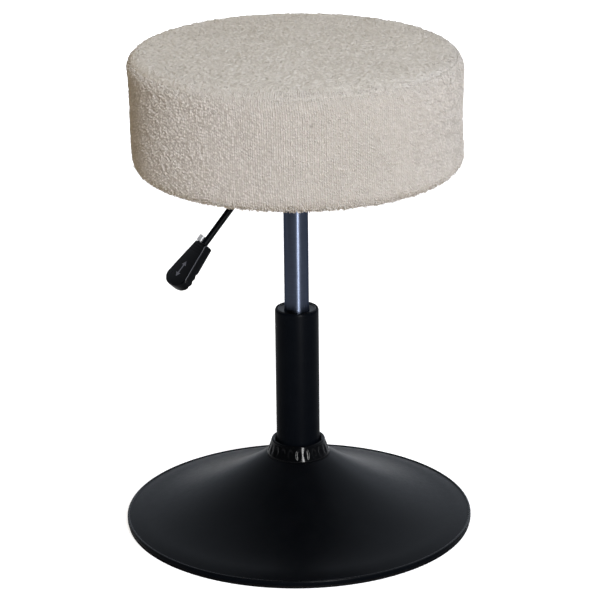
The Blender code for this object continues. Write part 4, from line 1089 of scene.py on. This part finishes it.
def build_grip(place):
    half = GRIP_THICKNESS / 2
    sections = []
    for share in GRIP_SHARES:
        along = share * GRIP_LENGTH
        width = max(grip_half_width(along), GRIP_LEAST_HALF)
        ends = min(along, GRIP_LENGTH - along)
        pinch = 1.0 - GRIP_PINCH * max(0.0, 1 - ends / GRIP_PINCH_LENGTH) ** 2
        ring = []
        for y, z in rounded_rectangle(width, half, GRIP_CORNER, 6):
            dip = 0.0
            if z < 0:
                for centre in SCALLOP_PLACES:
                    dip += SCALLOP_DEPTH * math.exp(-((along - centre) / SCALLOP_WIDTH) ** 2)
            if z > 0 and RIDGE_START < along < RIDGED_LENGTH:
                dip -= RIDGE_HEIGHT * (0.5 + 0.5 * math.cos(along / RIDGE_PITCH * math.tau))
            ring.append((along, y * pinch, (z + dip) * pinch))
        sections.append(ring)
    verts, faces = loft(sections)
    verts = [place @ Vector(v) for v in verts]
    grip = add_piece("moulded_grip", verts, faces, GRIP_PLASTIC, "lever", ["lever_grip"])
    # Painted highlight: one rounded edge of the grip gets the lighter plastic.
    grip.data.materials.append(EDGE_HIGHLIGHT_PLASTIC)
    corners = len(sections[0])
    for face in grip.data.polygons:
        row, corner = divmod(face.index, corners)
        if corner == HIGHLIGHT_CORNER and HIGHLIGHT_ROWS[0] <= row <= HIGHLIGHT_ROWS[1]:
            face.material_index = 1
    build_grip_mark(place)


def build_grip_mark(place):
    """A plain up and down arrow on the grip's broad face."""
    foot = GRIP_THICKNESS / 2 - MARK_SINK
    levels = (foot, foot + MARK_HEIGHT)
    down, up = ARROW_ENDS
    low, high = down + ARROW_HEAD_LENGTH, up - ARROW_HEAD_LENGTH
    wide, thin = ARROW_HEAD_HALF, ARROW_SHAFT_HALF
    shapes = [
        [(up, 0.0), (high, wide), (high, -wide)],
        [(down, 0.0), (low, -wide), (low, wide)],
        [(high, thin), (low, thin), (low, -thin), (high, -thin)],
    ]
    groups = [[[place @ Vector((x, y, z)) for x, y in shape] for z in levels] for shape in shapes]
    verts, faces = lofts(groups)
    add_piece("grip_arrow_mark", verts, faces, PALE_INK, "lever")


# The rest of the frame keeps its CAD shape and gets its finish

def dress_nodes():
    slots = {entry["node"]: entry["material_slot"] for entry in frame["record"]["subparts"]}
    for name, item in frame["nodes"].items():
        item.data.materials.clear()
        item.data.materials.append(SLOT_FINISH[slots[name]])
        item.data.shade_smooth()
        item.data.set_sharp_from_angle(angle=SHARP_ANGLE)


# Stage

def build_stage():
    floor_mesh = bpy.data.meshes.new("floor")
    corners = [(x * FLOOR_REACH, y * FLOOR_REACH, 0.0) for x, y in ((-1, -1), (1, -1), (1, 1), (-1, 1))]
    floor_mesh.from_pydata(corners, [], [(0, 1, 2, 3)])
    floor = add_object("floor", floor_mesh)
    made, tree, shader, coords = start_material("pale_floor", Roughness=0.9, Specular_IOR_Level=0.1)
    path = node(tree, "ShaderNodeLightPath").outputs
    tint = mix_colours(tree, path["Is Diffuse Ray"], PALE_FLOOR, WARM_BOUNCE)
    tree.links.new(tint, shader.inputs["Base Color"])
    glossy = path["Is Glossy Ray"]
    tree.links.new(mix_colours(tree, glossy, WHITE, COOL_FLOOR), shader.inputs["Emission Color"])
    distance = vector_math(tree, "LENGTH", coords)["Value"]
    lift = ramp(tree, distance, *FLOOR_LIFT_SPAN, *FLOOR_LIFT)
    # Painted shadow, seen only in reflections: near the stool the glow drops out of mirrored rays, so the floor
    # round the base mirrors dark.
    beyond_mirrored_shadow = ramp(tree, distance, *FLOOR_MIRRORED_SHADOW_SPAN, 0.0, 1.0)
    shade = combine(tree, "MAXIMUM", beyond_mirrored_shadow, ramp(tree, glossy, 0.0, 1.0, 1.0, 0.0))
    # Glows for what the camera sees, also mirrored or through glass, and not for light that falls on things
    through = combine(tree, "MAXIMUM", glossy, path["Is Transmission Ray"])
    seen = combine(tree, "MAXIMUM", path["Is Camera Ray"], through)
    shown = combine(tree, "MULTIPLY", seen, shade)
    tree.links.new(combine(tree, "MULTIPLY", shown, lift), shader.inputs["Emission Strength"])
    floor_mesh.materials.append(made)

    build_world()


def build_world():
    """White to the eye. Shiny pieces see a backdrop that is bright behind the stool and dims towards
    the front, the horizon and the ceiling. A weak warm fill comes from the left."""
    world = bpy.data.worlds.new("studio")
    world.use_nodes = True
    bpy.context.scene.world = world
    tree = world.node_tree
    path = node(tree, "ShaderNodeLightPath").outputs
    direction = node(tree, "ShaderNodeTexCoord").outputs["Generated"]
    rise = vector_math(tree, "DOT_PRODUCT", direction, (0.0, 0.0, 1.0))["Value"]
    flat = vector_math(tree, "MULTIPLY", direction, (1.0, 1.0, 0.0))["Vector"]
    level = vector_math(tree, "NORMALIZE", flat)["Vector"]
    behind = vector_math(tree, "DOT_PRODUCT", level, -towards(BACKDROP_SIDE, 0.0))["Value"]
    wall = ramp(tree, behind, *BACKDROP_SPAN, STUDIO_FRONT, STUDIO_BACKDROP)
    roof = ramp(tree, rise, *CEILING_SPAN, 1.0, STUDIO_CEILING)
    low = ramp(tree, rise, *HORIZON_SPAN, STUDIO_HORIZON, 1.0)
    shaded = combine(tree, "MULTIPLY", combine(tree, "MULTIPLY", wall, roof), low)
    mirrored = combine(tree, "MULTIPLY", shaded, path["Is Glossy Ray"])
    seen = combine(tree, "MAXIMUM", path["Is Camera Ray"], path["Is Transmission Ray"])
    left = vector_math(tree, "DOT_PRODUCT", direction, towards(FILL_SIDE, 0.0))["Value"]
    fill = ramp(tree, left, *FILL_SPAN, 0.0, FILL_STRENGTH)
    fill = combine(tree, "MULTIPLY", path["Is Diffuse Ray"], fill)
    strength = combine(tree, "MAXIMUM", combine(tree, "MAXIMUM", seen, mirrored), fill)
    background = tree.nodes["Background"]
    tree.links.new(strength, background.inputs["Strength"])
    shown = mix_colours(tree, path["Is Glossy Ray"], WHITE, COOL_BACKDROP)
    colour = mix_colours(tree, path["Is Diffuse Ray"], shown, WARM_FILL)
    tree.links.new(colour, background.inputs["Color"])


def towards(azimuth, elevation):
    """A direction seen from the stool: azimuth 0 is the camera's side and positive is to its right."""
    turn = VIEW_AZIMUTH + math.radians(azimuth)
    rise = math.radians(elevation)
    return Vector((math.sin(turn) * math.cos(rise), -math.cos(turn) * math.cos(rise), math.sin(rise)))


def add_softbox(
    name, azimuth, elevation, distance, size, power, colour=WHITE, fills=True, mirrored=True
):
    """A soft lamp. One may only fill, and isn't mirrored, or only be mirrored, and lights no fabric."""
    lamp = bpy.data.lights.new(name, "AREA")
    lamp.shape = "RECTANGLE"
    lamp.size, lamp.size_y = size
    lamp.energy = power
    lamp.color = colour
    light = add_object(name, lamp)
    direction = towards(azimuth, elevation)
    light.location = Vector(LAMP_TARGET) + direction * distance
    light.visible_camera = False
    light.visible_diffuse = fills
    light.visible_glossy = mirrored
    light.rotation_euler = direction.to_track_quat("Z", "Y").to_euler()


def build_lights():
    add_softbox("key", 18.0, 27.0, 3.0, (0.9, 0.9), 79.0, COOL_LIGHT, mirrored=False)
    add_softbox("glint", 18.0, 8.2, 1.4, (0.17, 1.08), 50.0, fills=False)
    add_softbox("left", -104.0, 8.0, 2.6, (1.2, 1.2), 11.5, LEFT_LIGHT, mirrored=False)
    add_softbox("back right", 139.0, 7.0, 2.6, (1.0, 0.5), 2.4, RIM_LIGHT, fills=False)
    add_softbox("top", 0.0, 84.0, 2.6, (1.6, 1.6), 6.5, TOP_LIGHT, mirrored=False)
    add_softbox("back", 180.0, 9.0, 2.8, (1.4, 1.4), 46.0, COOL_LIGHT, mirrored=False)


def build_camera():
    camera = bpy.data.cameras.new("camera")
    camera.sensor_width = SENSOR_WIDTH
    camera.lens = CAMERA_LENS
    item = add_object("camera", camera)
    across, back = CAMERA_DISTANCE * math.sin(VIEW_AZIMUTH), CAMERA_DISTANCE * math.cos(VIEW_AZIMUTH)
    place = Vector((across, -back, CAMERA_HEIGHT))
    turn = (
        Matrix.Rotation(VIEW_AZIMUTH + CAMERA_YAW, 4, "Z")
        @ Matrix.Rotation(math.pi / 2 - CAMERA_PITCH, 4, "X")
        @ Matrix.Rotation(CAMERA_ROLL, 4, "Z")
    )
    item.matrix_world = Matrix.Translation(place) @ turn
    bpy.context.scene.camera = item


dress_nodes()
build_base()
build_collar()
build_column()
build_cylinder()
build_cover_band()
build_cover_top()
build_loops()
build_dust_cover()
build_lever()
build_stage()
build_lights()
build_camera()
bpy.context.scene.view_settings.view_transform = "Standard"
